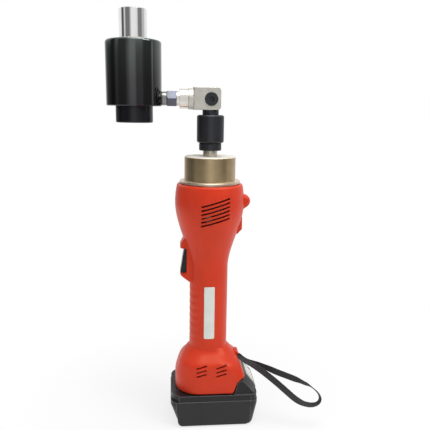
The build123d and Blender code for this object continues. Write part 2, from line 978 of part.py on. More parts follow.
def boot_solid(inset, base, top_share):
    solid = extrude(Pos(0, 0, base) * boot_section(0, inset), boot_bulge_z - base)
    sections = Sketch() + Pos(0, 0, boot_bulge_z) * boot_section(0, inset)
    for share in boot_shares:
        z = boot_bulge_z + (boot_top - boot_bulge_z) * share * top_share
        sections += Pos(0, 0, z) * boot_section(share * top_share, inset)
    return solid + loft(sections)


def trigger_pod():
    outline = [
        (-pod_root, pod_top),
        (-lip_crest, pod_top),
        (-lip_reach, lip_shoulder),
        (-lip_reach, window_top),
        (-window_back, window_top),
        (-window_back, window_bottom),
        (-lip_reach, window_bottom),
        (-lip_reach, lower_lip_shoulder),
        (-lower_lip_crest, pod_bottom),
        (-pod_root, pod_bottom),
    ]
    plan = Pos(-lip_reach / 2, 0, pod_bottom) * RectangleRounded(lip_reach, pod_width, pod_corner)
    return slab(outline, pod_width / 2) & extrude(plan, pod_top - pod_bottom)


def rear_lug():
    circle = Pos(rear_lug_x, rear_lug_z) * Circle(rear_lug_radius)
    web = Pos(rear_lug_x - rear_web_inset, rear_lug_z - rear_web_drop) * Circle(rear_web_radius)
    outline = make_hull(circle.edges() + web.edges())
    lug = extrude(Plane.XZ * outline, rear_lug_width / 2, both=True)
    sides = lug.faces().sort_by(Axis.Y)
    return fillet(sides[0].edges() + sides[-1].edges(), rear_lug_width / 3)


def strap_lug():
    lug = rod_y(strap_lug_radius, -strap_lug_width / 2, strap_lug_width / 2, strap_lug_x, strap_lug_z)
    return fillet(lug.edges().filter_by(GeomType.CIRCLE), strap_lug_radius / 2)


def casing_outer():
    head = head_solid(0, rim_z)
    head = fillet(head.faces().sort_by(Axis.Z)[-1].edges(), rim_edge)
    grip = grip_solid(0, boot_top - 2 * wall)
    boot = boot_solid(0, boot_base, 1)
    return boot + grip + head + trigger_pod() + rear_lug() + strap_lug()


def casing_inner():
    head = head_solid(wall, lip_base)
    grip = grip_solid(wall, boot_top - 4 * wall)
    boot = boot_solid(wall, boot_base - 1, boot_inner_share)
    return boot + grip + head


def outer_y(x, z):
    """Half breadth of the casing in Y at a place."""
    if z < boot_top:
        left, right, side, left_corner, right_corner = boot_sizes(boot_share(z))
        corner, over = right_corner, x - right + right_corner
        if x < 0:
            corner, over = left_corner, -x - left + left_corner
        return side - corner + math.sqrt(corner ** 2 - max(0, over) ** 2)
    depth = grip_half(z, grip_half_depth)
    return grip_half(z, grip_half_width) * math.sqrt(1 - (x / depth) ** 2)


def boot_floor():
    floor = block(-boot_left, tongue_right + 1, -boot_half_width, boot_half_width, boot_base, floor_top)
    neck_side = tongue_neck / 2 + slide_gap
    slot_left = tongue_left - slide_gap
    return floor - block(slot_left, boot_right, -neck_side, neck_side, boot_base - 1, floor_top + 1)


def switch_shelf():
    shelf = rod_z(grip_half_depth, shelf_z, shelf_z + shelf_thickness)
    for side in (-1, 1):
        x, y, _ = lead_route[-1]
        shelf -= rod_z(lead_radius + slide_gap, shelf_z - 1, shelf_z + shelf_thickness + 1, x, side * y)
    return shelf


def vent_cuts():
    cuts = []
    for side in (-1, 1):
        y = side * belly_radius
        for i in range(head_vent_count):
            z = head_vent_top_z - i * head_vent_pitch
            slot = Box(head_vent_length, belly_radius, head_vent_width)
            cuts.append(Pos(head_vent_x, y, z) * Rot(0, -vent_tilt, 0) * slot)
        for x in boot_vent_x:
            for i in range(boot_vent_count):
                z = boot_vent_top_z - i * boot_vent_pitch
                slot = Box(boot_vent_length, wall * 3, boot_vent_width)
                cuts.append(Pos(x, side * outer_y(x, z), z) * Rot(0, -vent_tilt, 0) * slot)
    return cuts


def ripple_cuts():
    x = -grip_half_depth - ripple_radius + ripple_depth
    places = [ripple_top_z - i * ripple_pitch for i in range(ripple_count)]
    return [rod_y(ripple_radius, -grip_half_width, grip_half_width, x, z) for z in places]


def trigger_cuts():
    side = trigger_width / 2 + slide_gap
    window = block(-lip_reach - 1, -switch_front - 1, -side, side, window_bottom, window_top)
    hub = trigger_hub + slide_gap
    hub_room = block(trigger_pivot_x - hub - slide_gap, -switch_front - 1, -side, side,
                     window_top - 1, trigger_pivot_z + hub)
    pin = trigger_width / 2 + pin_overlap + seat_gap
    return [window, hub_room, rod_y(trigger_pin_radius, -pin, pin, trigger_pivot_x, trigger_pivot_z)]


def lever_cuts():
    side = lever_width / 2 + slide_gap
    pin = lever_width / 2 + pin_overlap + seat_gap
    window = block(lever_window_x, belly_radius + 1, -side, side, lever_window_bottom, lever_window_top)
    return [window, rod_y(lever_pin_radius, -pin, pin, lever_pivot_x, lever_pivot_z)]


def label_shell(proud, depth, grow):
    outline = RectangleRounded(label_width + 2 * grow, label_height + 2 * grow, label_corner)
    window = extrude(Plane.XZ * Pos(label_x, label_z) * outline, 2 * grip_half_width)
    outer = Ellipse(grip_half_depth + proud, grip_half_width + proud)
    inner = Ellipse(grip_half_depth - depth, grip_half_width - depth)
    low = label_z - label_height
    band = extrude(Pos(0, 0, low) * (outer - inner), 2 * label_height)
    return window & band


def screw_cuts(x, z):
    seat = outer_y(x, z) - screw_recess
    head = rod_y(screw_head_radius + seat_gap, seat, seat + 4 * screw_recess, x, z)
    hole = rod_y(screw_radius + running_fit, -screw_grip, seat + 1, x, z)
    return [head, hole]


def casing():
    outer = casing_outer()
    shell = outer - casing_inner()
    for x, z in screw_places:
        shell += rod_y(boss_radius, -belly_radius, belly_radius, x, z) & outer
    shell += (boot_floor() + switch_shelf()) & outer
    cuts = [rod_z(neck_radius + slide_gap, lip_base - 1, rim_z + 1),
            latch_shoulder(notch_gap, boot_base - 1)]
    cuts += vent_cuts() + ripple_cuts() + trigger_cuts() + lever_cuts()
    cuts.append(label_shell(1, label_depth, running_fit))
    for x, z in screw_places:
        cuts += screw_cuts(x, z)
    return shell - cuts


def half_space(side):
    reach = 4 * belly_radius
    return Pos(0, side * (reach / 2 + parting_gap / 2), rim_z / 2) * Box(reach, reach, 2 * rim_z)


def casing_screws():
    screws = []
    for x, z in screw_places:
        seat = outer_y(x, z) - screw_recess
        head = rod_y(screw_head_radius, seat + running_fit, seat + screw_head, x, z)
        socket_floor = seat + screw_head - screw_socket_depth
        head -= rod_y(screw_socket_radius, socket_floor, seat + screw_head + 1, x, z)
        screws.append(head + rod_y(screw_radius, -screw_grip + seat_gap, seat + seat_gap, x, z))
    return Compound(children=screws)


# Trigger and retract lever

def trigger():
    outline = [
        (trigger_pivot_x + trigger_hub, trigger_pivot_z),
        (trigger_pivot_x - trigger_hub, trigger_pivot_z),
        (-trigger_face_top, window_top - slide_gap),
        (-trigger_brow, trigger_brow_z),
        (-trigger_chin, trigger_chin_z),
        (-trigger_face, trigger_toe + trigger_toe_edge),
        (-trigger_face + trigger_toe_edge, trigger_toe),
        (-trigger_back, trigger_toe),
    ]
    half = trigger_width / 2
    body = slab(outline, half) + rod_y(trigger_hub, -half, half, trigger_pivot_x, trigger_pivot_z)
    rib_side = trigger_rib_width / 2
    body += block(-trigger_back - 1, -trigger_back + trigger_rib_depth, -rib_side, rib_side,
                  trigger_toe, trigger_toe + trigger_rib_height)
    pin_hole = trigger_pin_radius + running_fit
    return body - rod_y(pin_hole, -half - 1, half + 1, trigger_pivot_x, trigger_pivot_z)


def hinge_pin(radius, width, x, z):
    half = width / 2 + pin_overlap
    return rod_y(radius - running_fit / 2, -half, half, x, z)


def retract_lever():
    outline = [
        (lever_pivot_x - lever_pin_radius, lever_top_z),
        (lever_face_x, lever_top_z),
        (lever_face_x, lever_heel_z),
        (lever_tip_x, lever_tip_z),
        (lever_back_x, lever_tip_z + (lever_tip_x - lever_back_x)),
        (lever_back_x, lever_pivot_z - lever_pin_radius),
    ]
    half = lever_width / 2
    lever = slab(outline, half)
    return lever - rod_y(lever_pin_radius + running_fit, -half - 1, half + 1, lever_pivot_x, lever_pivot_z)


def release_valve():
    body = rod_z(valve_radius, shank_base - valve_length, shank_base, valve_x)
    z = shank_base - valve_length + 2 * valve_pin_radius
    return body + rod_x(valve_pin_radius, valve_x, valve_x + valve_radius + valve_pin_reach, 0, z)


# Hydraulic block, lock ring and pump

def hydraulic_block():
    body = turned([
        (0, shank_base),
        (shank_radius, shank_base),
        (shank_radius, flange_top - flange_height),
        (flange_radius, flange_top - flange_height),
        (flange_radius, flange_top),
        (neck_radius, flange_top),
        (neck_radius, ring_top),
        (collar_radius, ring_top),
        (collar_radius, collar_top - collar_edge),
        (collar_radius - collar_edge, collar_top),
        (0, collar_top),
    ])
    body -= rod_z(chamber_radius, shank_base - 1, chamber_top)
    body -= rod_z(carrier_shaft_radius + running_fit, shank_base, chamber_top + pilot_depth)
    body -= rod_z(oil_bore, flange_top, collar_top + 1)
    body -= rod_z(nipple_foot_radius, collar_top - nipple_foot, collar_top + 1)
    body -= rod_x(spring_pocket_radius, 0, spring_pocket_end, 0, pump_z)
    body -= rod_x(plunger_radius + running_fit, 0, shank_radius, 0, pump_z)
    body -= rod_x(plug_radius, shank_radius - plug_depth, shank_radius + 1, 0, pump_z)
    return body - rod_x(plug_radius, -shank_radius - 1, -shank_radius + relief_depth, 0, pump_z)


def lock_ring():
    step_top = ring_base + ring_step
    ring = rod_z(ring_step_radius, ring_base, step_top) + rod_z(ring_radius, step_top, ring_top)
    ring = chamfer(ring.faces().sort_by(Axis.Z)[-1].edges(), ring_height / 6)
    return ring - rod_z(neck_radius + running_fit, ring_base - 1, ring_top + 1)


def pump_plunger():
    head_end = plunger_start + plunger_head
    head = rod_x(plunger_head_radius, plunger_start, head_end, 0, pump_z)
    return head + rod_x(plunger_radius, head_end - seat_gap, plunger_end, 0, pump_z)


def plunger_spring():
    head_end = plunger_start + plunger_head
    radius = plunger_radius + plunger_spring_wire
    spring = coil(radius, plunger_spring_wire, head_end, spring_pocket_end, plunger_spring_turns)
    return Pos(0, 0, pump_z) * Rot(0, 90, 0) * spring


def valve_plug(start, end, side):
    low, high = sorted((side * start, side * end))
    plug = rod_x(plug_radius - running_fit, low, high, 0, pump_z)
    sink = Plane.YZ * RegularPolygon(plug_socket, 6)
    return plug - Pos(side * end, 0, pump_z) * extrude(sink, plug_proud / 2, both=True)


def valve_plugs():
    end = shank_radius + plug_proud
    delivery = valve_plug(shank_radius - plug_depth + seat_gap, end, 1)
    relief = valve_plug(shank_radius - relief_depth + seat_gap, end, -1)
    return Compound(children=[delivery, relief])


def oil_bladder():
    inner = shank_radius + slide_gap
    top = bladder_base + bladder_height
    bladder = ring_z(inner + bladder_thickness, inner, bladder_base, top)
    bladder = fillet(bladder.edges().filter_by(GeomType.CIRCLE), bladder_thickness / 4)
    reach = inner + bladder_thickness + 1
    half = bladder_window / 2
    bladder -= block(-reach, reach, -half, half, bladder_base - 1, top + 1)
    return Compound(children=list(bladder.solids()))


# Planetary gears

def tooth_points(teeth, tip, root, thickness):
    """One tooth, centred on +X: root, involute flank, tip, and the same down the other side."""
    pitch = gear_module * teeth / 2
    base = pitch * math.cos(math.radians(pressure_angle))
    start = max(base, root)

    def involute(radius):
        roll = math.sqrt(max(0, (radius / base) ** 2 - 1))
        return roll - math.atan(roll)

    half = thickness / (2 * pitch) + involute(pitch)
    flank = []
    for i in range(flank_steps + 1):
        radius = start + (tip - start) * i / flank_steps
        flank.append((radius, half - involute(radius)))
    if start > root:
        flank.insert(0, (root, half - involute(start)))
    return [(r, -a) for r, a in flank] + [(r, a) for r, a in reversed(flank)]


def gear_face(teeth, tip, root, thickness, turn):
    points = []
    for i in range(teeth):
        centre = math.radians(turn) + 2 * math.pi * i / teeth
        for radius, angle in tooth_points(teeth, tip, root, thickness):
            points.append((radius * math.cos(centre + angle), radius * math.sin(centre + angle)))
    return Polygon(*points, align=None)


def outer_gear(teeth, turn, bore):
    pitch = gear_module * teeth / 2
    tip = pitch + addendum * gear_module
    root = pitch - dedendum * gear_module
    thickness = math.pi * gear_module / 2 - backlash
    face = gear_face(teeth, tip, root, thickness, turn) - Circle(bore)
    return extrude(Pos(0, 0, gear_base) * face, gear_width)


def ring_gear():
    tip = ring_pitch_radius + dedendum * gear_module
    root = ring_pitch_radius - addendum * gear_module
    thickness = math.pi * gear_module / 2 + backlash
    face = gear_face(ring_teeth, tip, root, thickness, 0)
    foot_top = motor_top + ring_gear_foot
    ring = rod_z(ring_gear_radius, motor_top, shank_base)
    ring -= rod_z(ring_gear_foot_radius, motor_top - 1, shank_base + 1)
    return ring - extrude(Pos(0, 0, foot_top) * face, shank_base - foot_top)


def sun_gear():
    return outer_gear(sun_teeth, 0, shaft_radius + running_fit / 2)


def planet_gear(index):
    angle = 360 * index / planet_count
    gear = Pos(orbit_radius, 0, 0) * outer_gear(planet_teeth, 0, planet_pin_radius + running_fit)
    return Rot(0, 0, angle) * gear


def planet_carrier():
    carrier = rod_z(carrier_radius, carrier_base, carrier_top)
    carrier += rod_z(carrier_shaft_radius, carrier_top - 1, carrier_shaft_top)
    low = pump_z - bearing_width / 2
    carrier += rod_z(eccentric_radius, low - 1, low + bearing_width + 1, eccentric_throw)
    for i in range(planet_count):
        pin = rod_z(planet_pin_radius, gear_base, carrier_base + 1, orbit_radius)
        carrier += Rot(0, 0, 360 * i / planet_count) * pin
    return carrier


def eccentric_bearing():
    low = pump_z - bearing_width / 2
    return ring_z(bearing_radius, eccentric_radius + running_fit, low, low + bearing_width, eccentric_throw)


# Motor

def motor_can():
    can = rod_z(motor_radius, motor_base, motor_top)
    can -= rod_z(motor_radius - motor_wall, motor_base - 1, motor_top - motor_plate)
    return can - rod_z(motor_bearing_radius, motor_base, motor_top + 1)


def motor_magnets():
    outer = motor_radius - motor_wall - running_fit
    shell = ring_z(outer, outer - magnet_thickness, magnet_base, magnet_top)
    shell -= block(-motor_radius, motor_radius, -magnet_gap_half, magnet_gap_half,
                   magnet_base - 1, magnet_top + 1)
    return Compound(children=list(shell.solids()))


def motor_end_cap():
    cap = rod_z(motor_radius, end_cap_bottom, motor_base)
    cap -= rod_z(motor_bearing_radius, motor_base - motor_bearing_width - seat_gap, motor_base + 1)
    return cap - rod_z(2 * shaft_radius, end_cap_bottom - 1, motor_base)


def motor_bearings():
    outer = motor_bearing_radius - running_fit / 2
    inner = shaft_radius + running_fit
    low = ring_z(outer, inner, motor_base - motor_bearing_width, motor_base)
    high = ring_z(outer, inner, motor_top - motor_bearing_width, motor_top)
    return Compound(children=[low, high])


def motor_brushes():
    start = commutator_radius + seat_gap
    low = motor_base + seat_gap
    half = brush_width / 2
    brush = block(start, start + brush_length, -half, half, low, low + brush_height)
    return Compound(children=[brush, Rot(0, 0, 180) * brush])


def motor_armature():
    armature = rod_z(shaft_radius, end_cap_bottom - shaft_tail, gear_top)
    armature += rod_z(commutator_radius, motor_base + slide_gap, motor_base + slide_gap + commutator_height)
    stack = rod_z(stack_radius, stack_base, stack_base + stack_height)
    for i in range(stack_slots):
        half = stack_slot_width / 2
        slot = block(stack_radius - stack_slot_depth, stack_radius + 1, -half, half,
                     stack_base - 1, stack_base + stack_height + 1)
        stack -= Rot(0, 0, 360 * i / stack_slots) * slot
    return armature + stack


# Electrics

def trigger_switch():
    half = switch_width / 2
    body = block(-switch_front, -switch_front + switch_length, -half, half, switch_base, switch_top)
    body = chamfer(body.edges().filter_by(Axis.Z), 1)
    side = switch_nose_width / 2
    nose_end = -switch_front - switch_nose
    return body + block(nose_end, -switch_front + 1, -side, side,
                        switch_top - switch_nose_height, switch_top)


def control_board():
    chip_base = pcb_z + pcb_thickness
    outline = boot_section(boot_share(chip_base), wall + slide_gap)
    side = boot_half_width
    board = extrude(Pos(0, 0, pcb_z) * outline, pcb_thickness)
    board &= block(pcb_left, pcb_right, -side, side, pcb_z, chip_base)
    for x in (pcb_left + chip_size, pcb_right - chip_size):
        board += block(x - chip_size / 2, x + chip_size / 2, -chip_size / 2, chip_size / 2,
                       chip_base, chip_base + chip_height)
    return board


def battery_terminals():
    half = terminal_width / 2
    holder = block(terminal_left, terminal_right, -half, half, terminal_base, terminal_top)
    blade_low = tongue_base + slide_gap
    blade_end = tongue_left + contact_length - contact_slot
    for y in (-contact_offset, contact_offset):
        blade_side = blade_thickness / 2
        holder += block(terminal_right - 1, blade_end, y - blade_side, y + blade_side,
                        blade_low, blade_low + blade_height)
    return holder


def power_leads():
    foot_x, foot_y, _ = lead_route[0]
    last_x, last_y, _ = lead_route[-1]
    end = (last_x, last_y, shelf_z + shelf_thickness - seat_gap)
    route = [(x, y, boot_bulge_z + rise) for x, y, rise in lead_route]
    points = [(foot_x, foot_y, terminal_top), *route, end]
    lead = cable(points, lead_radius, lead_bend)
    return Compound(children=[lead, mirror(lead, Plane.XZ)])


def label_plate():
    return label_shell(label_proud, label_depth - running_fit, 0)


# Coupler and elbow

def coupler_nipple():
    foot_base = collar_top - nipple_foot + seat_gap
    nipple = rod_z(nipple_foot_radius - running_fit, foot_base, collar_top)
    nipple += rod_z(nipple_radius, collar_top, nipple_top)
    nipple -= ring_z(nipple_radius + 1, nipple_radius - groove_depth,
                     ball_z - ball_radius - seat_gap, ball_z + ball_radius + seat_gap)
    return nipple - rod_z(oil_bore, foot_base - 1, nipple_top + 1)


def coupler_body():
    ring_end = coupler_base + coupler_ring
    neck_base = sleeve_top
    body = rod_z(coupler_ring_radius, coupler_base, ring_end)
    body = chamfer(body.edges(), sleeve_edge / 2)
    body += rod_z(coupler_body_radius, ring_end - 1, sleeve_land_top - slide_gap)
    body += rod_z(coupler_waist_radius, sleeve_land_top - 1, neck_base)
    body += rod_z(coupler_neck_radius, neck_base - 1, elbow_base)
    body += rod_z(coupler_spigot_radius - running_fit, elbow_base - 1, elbow_base + coupler_spigot)
    body -= rod_z(nipple_radius + running_fit, coupler_base - 1, nipple_top + slide_gap)
    body -= rod_z(oil_bore, nipple_top, elbow_base + coupler_spigot + 1)
    groove = coupler_waist_radius - stop_ring_bite
    body -= ring_z(coupler_waist_radius + 1, groove, stop_ring_base, stop_ring_top)
    for i in range(ball_count):
        hole = rod_x(ball_radius + seat_gap, nipple_radius - 1, coupler_body_radius + 1, 0, ball_z)
        body -= Rot(0, 0, 360 * i / ball_count) * hole
    return body


def coupler_balls():
    ball = Pos(ball_orbit, 0, ball_z) * Sphere(ball_radius)
    return Compound(children=[Rot(0, 0, 360 * i / ball_count) * ball for i in range(ball_count)])


def spring_stop_ring():
    inner = coupler_waist_radius - stop_ring_bite + running_fit
    base = stop_ring_base + running_fit
    return ring_z(sleeve_bore - slide_gap, inner, base, stop_ring_top - running_fit)


def coupler_sleeve():
    sleeve = rod_z(sleeve_radius, sleeve_base, sleeve_top)
    sleeve = chamfer(sleeve.edges(), sleeve_edge)
    sleeve -= rod_z(coupler_body_radius + seat_gap, sleeve_base - 1, sleeve_top + 1)
    return sleeve - rod_z(sleeve_bore, sleeve_land_top, sleeve_top + 1)


def sleeve_spring():
    low = sleeve_land_top
    return coil(sleeve_spring_radius, sleeve_spring_wire, low, stop_ring_base, sleeve_spring_turns)


def elbow_block():
    body = block(elbow_left, elbow_right, -elbow_half, elbow_half, elbow_base, inlet_z + elbow_rise)
    body = fillet(body.edges().filter_by(Axis.Y).group_by(Axis.X)[-1], 2 * elbow_edge)
    body = chamfer(body.faces().sort_by(Axis.Y)[0].edges(), elbow_edge / 4)
    body += rod_x(elbow_collar_radius, elbow_face, elbow_left + 1, 0, inlet_z)
    body -= rod_x(elbow_bore_radius + running_fit, elbow_face - 1, elbow_bore_end, 0, inlet_z)
    body -= rod_x(oil_bore, elbow_bore_end - 1, 0, 0, inlet_z)
    body -= rod_z(coupler_spigot_radius, elbow_base - 1, elbow_base + coupler_spigot)
    body -= rod_z(oil_bore, elbow_base, inlet_z)
    return body - rod_y(elbow_plug_shank_radius + running_fit, -elbow_half - 1,
                        -elbow_half + elbow_plug_shank + seat_gap, 0, inlet_z)


def elbow_plug():
    face = -elbow_half
    plug = rod_y(elbow_plug_radius, face - elbow_plug_head, face - running_fit, 0, inlet_z)
    plug = fillet(plug.faces().sort_by(Axis.Y)[0].edges(), elbow_plug_head / 3)
    plug += rod_y(elbow_plug_shank_radius, face - seat_gap, face + elbow_plug_shank, 0, inlet_z)
    socket = Plane.XZ * RegularPolygon(elbow_plug_socket, 6)
    tip = face - elbow_plug_head
    return plug - Pos(0, tip, inlet_z) * extrude(socket, elbow_plug_socket_depth, both=True)


# Ram

def swivel_stub():
    bore_end = elbow_bore_end - seat_gap
    inlet_end = washer_end - inlet_depth + seat_gap
    stub = rod_x(elbow_bore_radius, stub_face - 1, bore_end, 0, inlet_z)
    stub += rod_x(stub_flange_radius, stub_flange_end, stub_face, 0, inlet_z)
    stub += rod_x(stub_ring_radius, stub_ring_end, stub_flange_end, 0, inlet_z)
    stub += rod_x(stub_shank_radius, inlet_end, stub_ring_end, 0, inlet_z)
    return stub - rod_x(stub_bore, inlet_end - 1, bore_end + 1, 0, inlet_z)


def hex_nut():
    hexagon = Plane.YZ * RegularPolygon(nut_size / 2, 6, major_radius=False)
    nut = Pos(nut_end, 0, inlet_z) * extrude(hexagon, nut_thickness)
    nut &= chamfer(rod_x(nut_size / math.sqrt(3), nut_end, stub_ring_end, 0, inlet_z).edges(), nut_edge)
    return nut - rod_x(stub_shank_radius + running_fit, nut_end - 1, stub_ring_end + 1, 0, inlet_z)


def sealing_washer():
    washer = rod_x(washer_radius, washer_end, nut_end, 0, inlet_z)
    washer = chamfer(washer.edges(), nut_edge / 2)
    return washer - rod_x(stub_shank_radius + running_fit, washer_end - 1, nut_end + 1, 0, inlet_z)


def ram_cylinder():
    body = rod_z(ram_radius, ram_base, ram_top, ram_x)
    body = fillet(body.faces().sort_by(Axis.Z)[-1].edges(), ram_edge)
    body = chamfer(body.faces().sort_by(Axis.Z)[0].edges(), ram_edge / 3)
    body += rod_x(inlet_pad_radius, ram_x + ram_bore + 1, washer_end, 0, inlet_z)
    body -= rod_z(ram_bore, ram_base - 1, ram_top - ram_roof, ram_x)
    body -= rod_z(rod_radius + running_fit, ram_base, ram_top + 1, ram_x)
    wiper_base = ram_top + wiper_proud - wiper_height
    body -= rod_z(rod_radius + wiper_width + running_fit, wiper_base - running_fit, ram_top + 1, ram_x)
    body -= rod_x(stub_shank_radius + running_fit, washer_end - inlet_depth, washer_end + 1, 0, inlet_z)
    gallery_x = ram_x + (ram_bore + ram_radius) / 2
    gallery_top = ram_top - ram_roof - 2 * gallery_radius
    body -= rod_z(gallery_radius, inlet_z, gallery_top, gallery_x)
    return body - rod_x(gallery_radius, ram_x, gallery_x, 0, gallery_top - gallery_radius)


def ram_end_cap():
    cap = rod_z(end_cap_radius, end_cap_base, ram_base, ram_x)
    cap = fillet(cap.faces().sort_by(Axis.Z)[0].edges(), end_cap_edge)
    cap += rod_z(ram_bore - running_fit, ram_base, ram_base + end_cap_spigot, ram_x)
    cap -= rod_z(spring_chamber_radius, chamber_floor_z, ram_base + end_cap_spigot + 1, ram_x)
    return cap - rod_z(vent_hole_radius, end_cap_base - 1, chamber_floor_z + 1, ram_x)


def seal_base():
    return piston_base + (piston_height - seal_groove) / 2


def ram_rod():
    rod = rod_z(rod_radius, piston_top - 1, rod_top, ram_x)
    rod = chamfer(rod.faces().sort_by(Axis.Z)[-1].edges(), rod_edge)
    rod += rod_z(ram_bore - 2 * running_fit, piston_base, piston_top, ram_x)
    low = seal_base()
    rod -= ring_z(ram_bore + 1, ram_bore - seal_depth, low, low + seal_groove, ram_x)
    return rod - rod_z(stud_hole_radius, rod_top - stud_hole_depth, rod_top + 1, ram_x)


def piston_seal():
    low = seal_base() + running_fit
    high = seal_base() + seal_groove - running_fit
    return ring_z(ram_bore - running_fit, ram_bore - seal_depth + running_fit, low, high, ram_x)


def rod_wiper():
    base = ram_top + wiper_proud - wiper_height
    wiper = rod_z(rod_radius + wiper_width, base, ram_top + wiper_proud, ram_x)
    wiper = chamfer(wiper.faces().sort_by(Axis.Z)[-1].edges(), wiper_proud / 2)
    return wiper - rod_z(rod_radius + running_fit, base - 1, ram_top + 2 * wiper_proud, ram_x)


def ram_spring():
    spring = coil(ram_spring_radius, ram_spring_wire, chamber_floor_z, piston_base, ram_spring_turns)
    return Pos(ram_x, 0, 0) * spring


# Wrist strap

def wrist_strap():
    radii = bend_radii(strap_route)
    print("strap bend radii", [round(radius, 1) for radius in radii])
    return cable(strap_route, strap_tube / 2, radii)


def build():
    shell = casing()
    parts = {
        "casing_near": shell & half_space(-1),
        "casing_far": shell & half_space(1),
        "casing_screws": casing_screws(),
        "label_plate": label_plate(),
        "hydraulic_block": hydraulic_block(),
        "lock_ring": lock_ring(),
        "coupler_nipple": coupler_nipple(),
        "motor_can": motor_can(),
        "motor_magnets": motor_magnets(),
        "motor_end_cap": motor_end_cap(),
        "motor_brushes": motor_brushes(),
        "motor_bearings": motor_bearings(),
        "ring_gear": ring_gear(),
        "pump_plunger": pump_plunger(),
        "plunger_spring": plunger_spring(),
        "valve_plugs": valve_plugs(),
        "oil_bladder": oil_bladder(),
        "release_valve": release_valve(),
        "trigger_switch": trigger_switch(),
        "control_board": control_board(),
        "battery_terminals": battery_terminals(),
        "power_leads": power_leads(),
        "trigger_pin": hinge_pin(trigger_pin_radius, trigger_width, trigger_pivot_x, trigger_pivot_z),
        "lever_pin": hinge_pin(lever_pin_radius, lever_width, lever_pivot_x, lever_pivot_z),
        "wrist_strap": wrist_strap(),
        "trigger": trigger(),
        "retract_lever": retract_lever(),
        "battery_tray": battery_tray(),
        "battery_lid": battery_lid(),
        "battery_cells": battery_cells(),
        "cell_board": cell_board(),
        "battery_contacts": battery_contacts(),
        "tray_screws": tray_screws(),
        "release_button": release_button(),
        "latch_spring": latch_spring(),
        "coupler_body": coupler_body(),
        "coupler_balls": coupler_balls(),
        "spring_stop_ring": spring_stop_ring(),
        "elbow_block": elbow_block(),
        "elbow_plug": elbow_plug(),
        "coupler_sleeve": coupler_sleeve(),
        "sleeve_spring": sleeve_spring(),
        "swivel_stub": swivel_stub(),
        "hex_nut": hex_nut(),
        "sealing_washer": sealing_washer(),
        "ram_cylinder": ram_cylinder(),
        "ram_end_cap": ram_end_cap(),
        "rod_wiper": rod_wiper(),
        "ram_rod": ram_rod(),
        "piston_seal": piston_seal(),
        "ram_spring": ram_spring(),
        "motor_armature": motor_armature(),
        "sun_gear": sun_gear(),
        "planet_carrier": planet_carrier(),
        "eccentric_bearing": eccentric_bearing(),
    }
    for index in range(planet_count):
        parts[f"planet_gear_{index + 1}"] = planet_gear(index)
    return parts


os.makedirs("parts", exist_ok=True)
for node, shape in build().items():
    export_step(shape, f"parts/{node}.step")
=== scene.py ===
import math

import bpy
from mathutils import Matrix, Vector


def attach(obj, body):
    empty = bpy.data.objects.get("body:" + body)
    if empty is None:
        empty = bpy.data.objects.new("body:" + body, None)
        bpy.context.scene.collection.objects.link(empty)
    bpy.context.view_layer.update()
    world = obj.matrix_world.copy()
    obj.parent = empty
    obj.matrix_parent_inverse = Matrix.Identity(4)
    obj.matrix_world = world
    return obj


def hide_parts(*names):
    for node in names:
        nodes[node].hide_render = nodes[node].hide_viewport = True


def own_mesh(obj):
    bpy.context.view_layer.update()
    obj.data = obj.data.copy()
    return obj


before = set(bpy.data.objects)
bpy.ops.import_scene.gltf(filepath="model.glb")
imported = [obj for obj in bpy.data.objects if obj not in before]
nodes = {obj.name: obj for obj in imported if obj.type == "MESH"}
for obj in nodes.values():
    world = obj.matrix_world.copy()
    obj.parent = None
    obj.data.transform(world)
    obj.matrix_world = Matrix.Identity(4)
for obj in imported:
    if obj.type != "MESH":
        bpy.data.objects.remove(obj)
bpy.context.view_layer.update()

scene = bpy.context.scene
scene.view_settings.view_transform = "Standard"

# Camera, in metres, degrees and pixels, its sensor in millimetres
image_size = 430
focal_pixels = 500.0
sensor_width = 36.0
camera_distance = 0.613
camera_height = 0.395
camera_side = 4.5
camera_heading = 5.163
camera_pitch = 11.5
camera_roll = 0.85
camera_near = 0.01

# Light: the strength of the world's fill, the point that the lamps face, and each lamp's name, place and
# size in metres, watts, and whether gloss mirrors it
world_fill = 0.38
lamp_target = Vector((0.0, 0.0, 0.22))
lamps = (
    ("top_lamp", (0.1, -0.25, 1.45), 0.8, 9.0, True),
    ("key_lamp", (1.00, -0.60, 1.20), 0.7, 8.5, True),
    ("left_lamp", (-1.1, -0.5, 0.6), 0.8, 2.0, False),
)

# The room that gloss mirrors: degrees round from the front, to the right, and the wall's grey there,
# low down and higher up
low_walls = ((-180, 1.0), (-150, 0.80), (-130, 0.25), (-112, 0.18), (-96, 0.08), (-82, 0.08), (-70, 0.34),
             (-56, 0.17), (-30, 0.19), (-18, 0.55), (-8, 0.95), (8, 0.95), (16, 0.40), (36, 0.42),
             (46, 0.20), (74, 0.18), (81, 0.26), (83, 1.0), (88, 1.0), (91, 0.34), (104, 0.65),
             (122, 0.85), (180, 1.0))
high_walls = ((-180, 1.0), (-104, 0.95), (-94, 0.10), (-76, 0.10), (-70, 0.75), (-62, 0.70), (-56, 0.20),
              (-26, 0.20), (-16, 0.55), (-8, 0.94), (20, 0.94), (38, 0.85), (46, 0.24), (76, 0.22),
              (84, 0.58), (98, 0.52), (116, 0.92), (180, 1.0))
# The turn that starts the walls behind the tool, in degrees
wall_turn = 90.0
# Heights in the room, 0 level and 1 overhead: where the high walls take over, and where the ceiling does
wall_change = (0.125, 0.135)
ceiling_rise = (0.45, 0.75)
ceiling_colour = (0.95, 0.95, 0.93, 1)
white = (1, 1, 1, 1)

# Floor, in metres: half its width, and how far from the origin its shadow starts to fade and is gone
floor_half = 1.0
shadow_start = 0.10
shadow_end = 0.30
# The share of plain white that it shows near the tool, and the scale and greys of its speckle
floor_glow = 0.75
floor_speckle = 300.0
floor_dark = 0.95
floor_light = 0.97

# Noise, from 0 to 1: where most of it lies
noise_low = 0.3
noise_high = 0.7
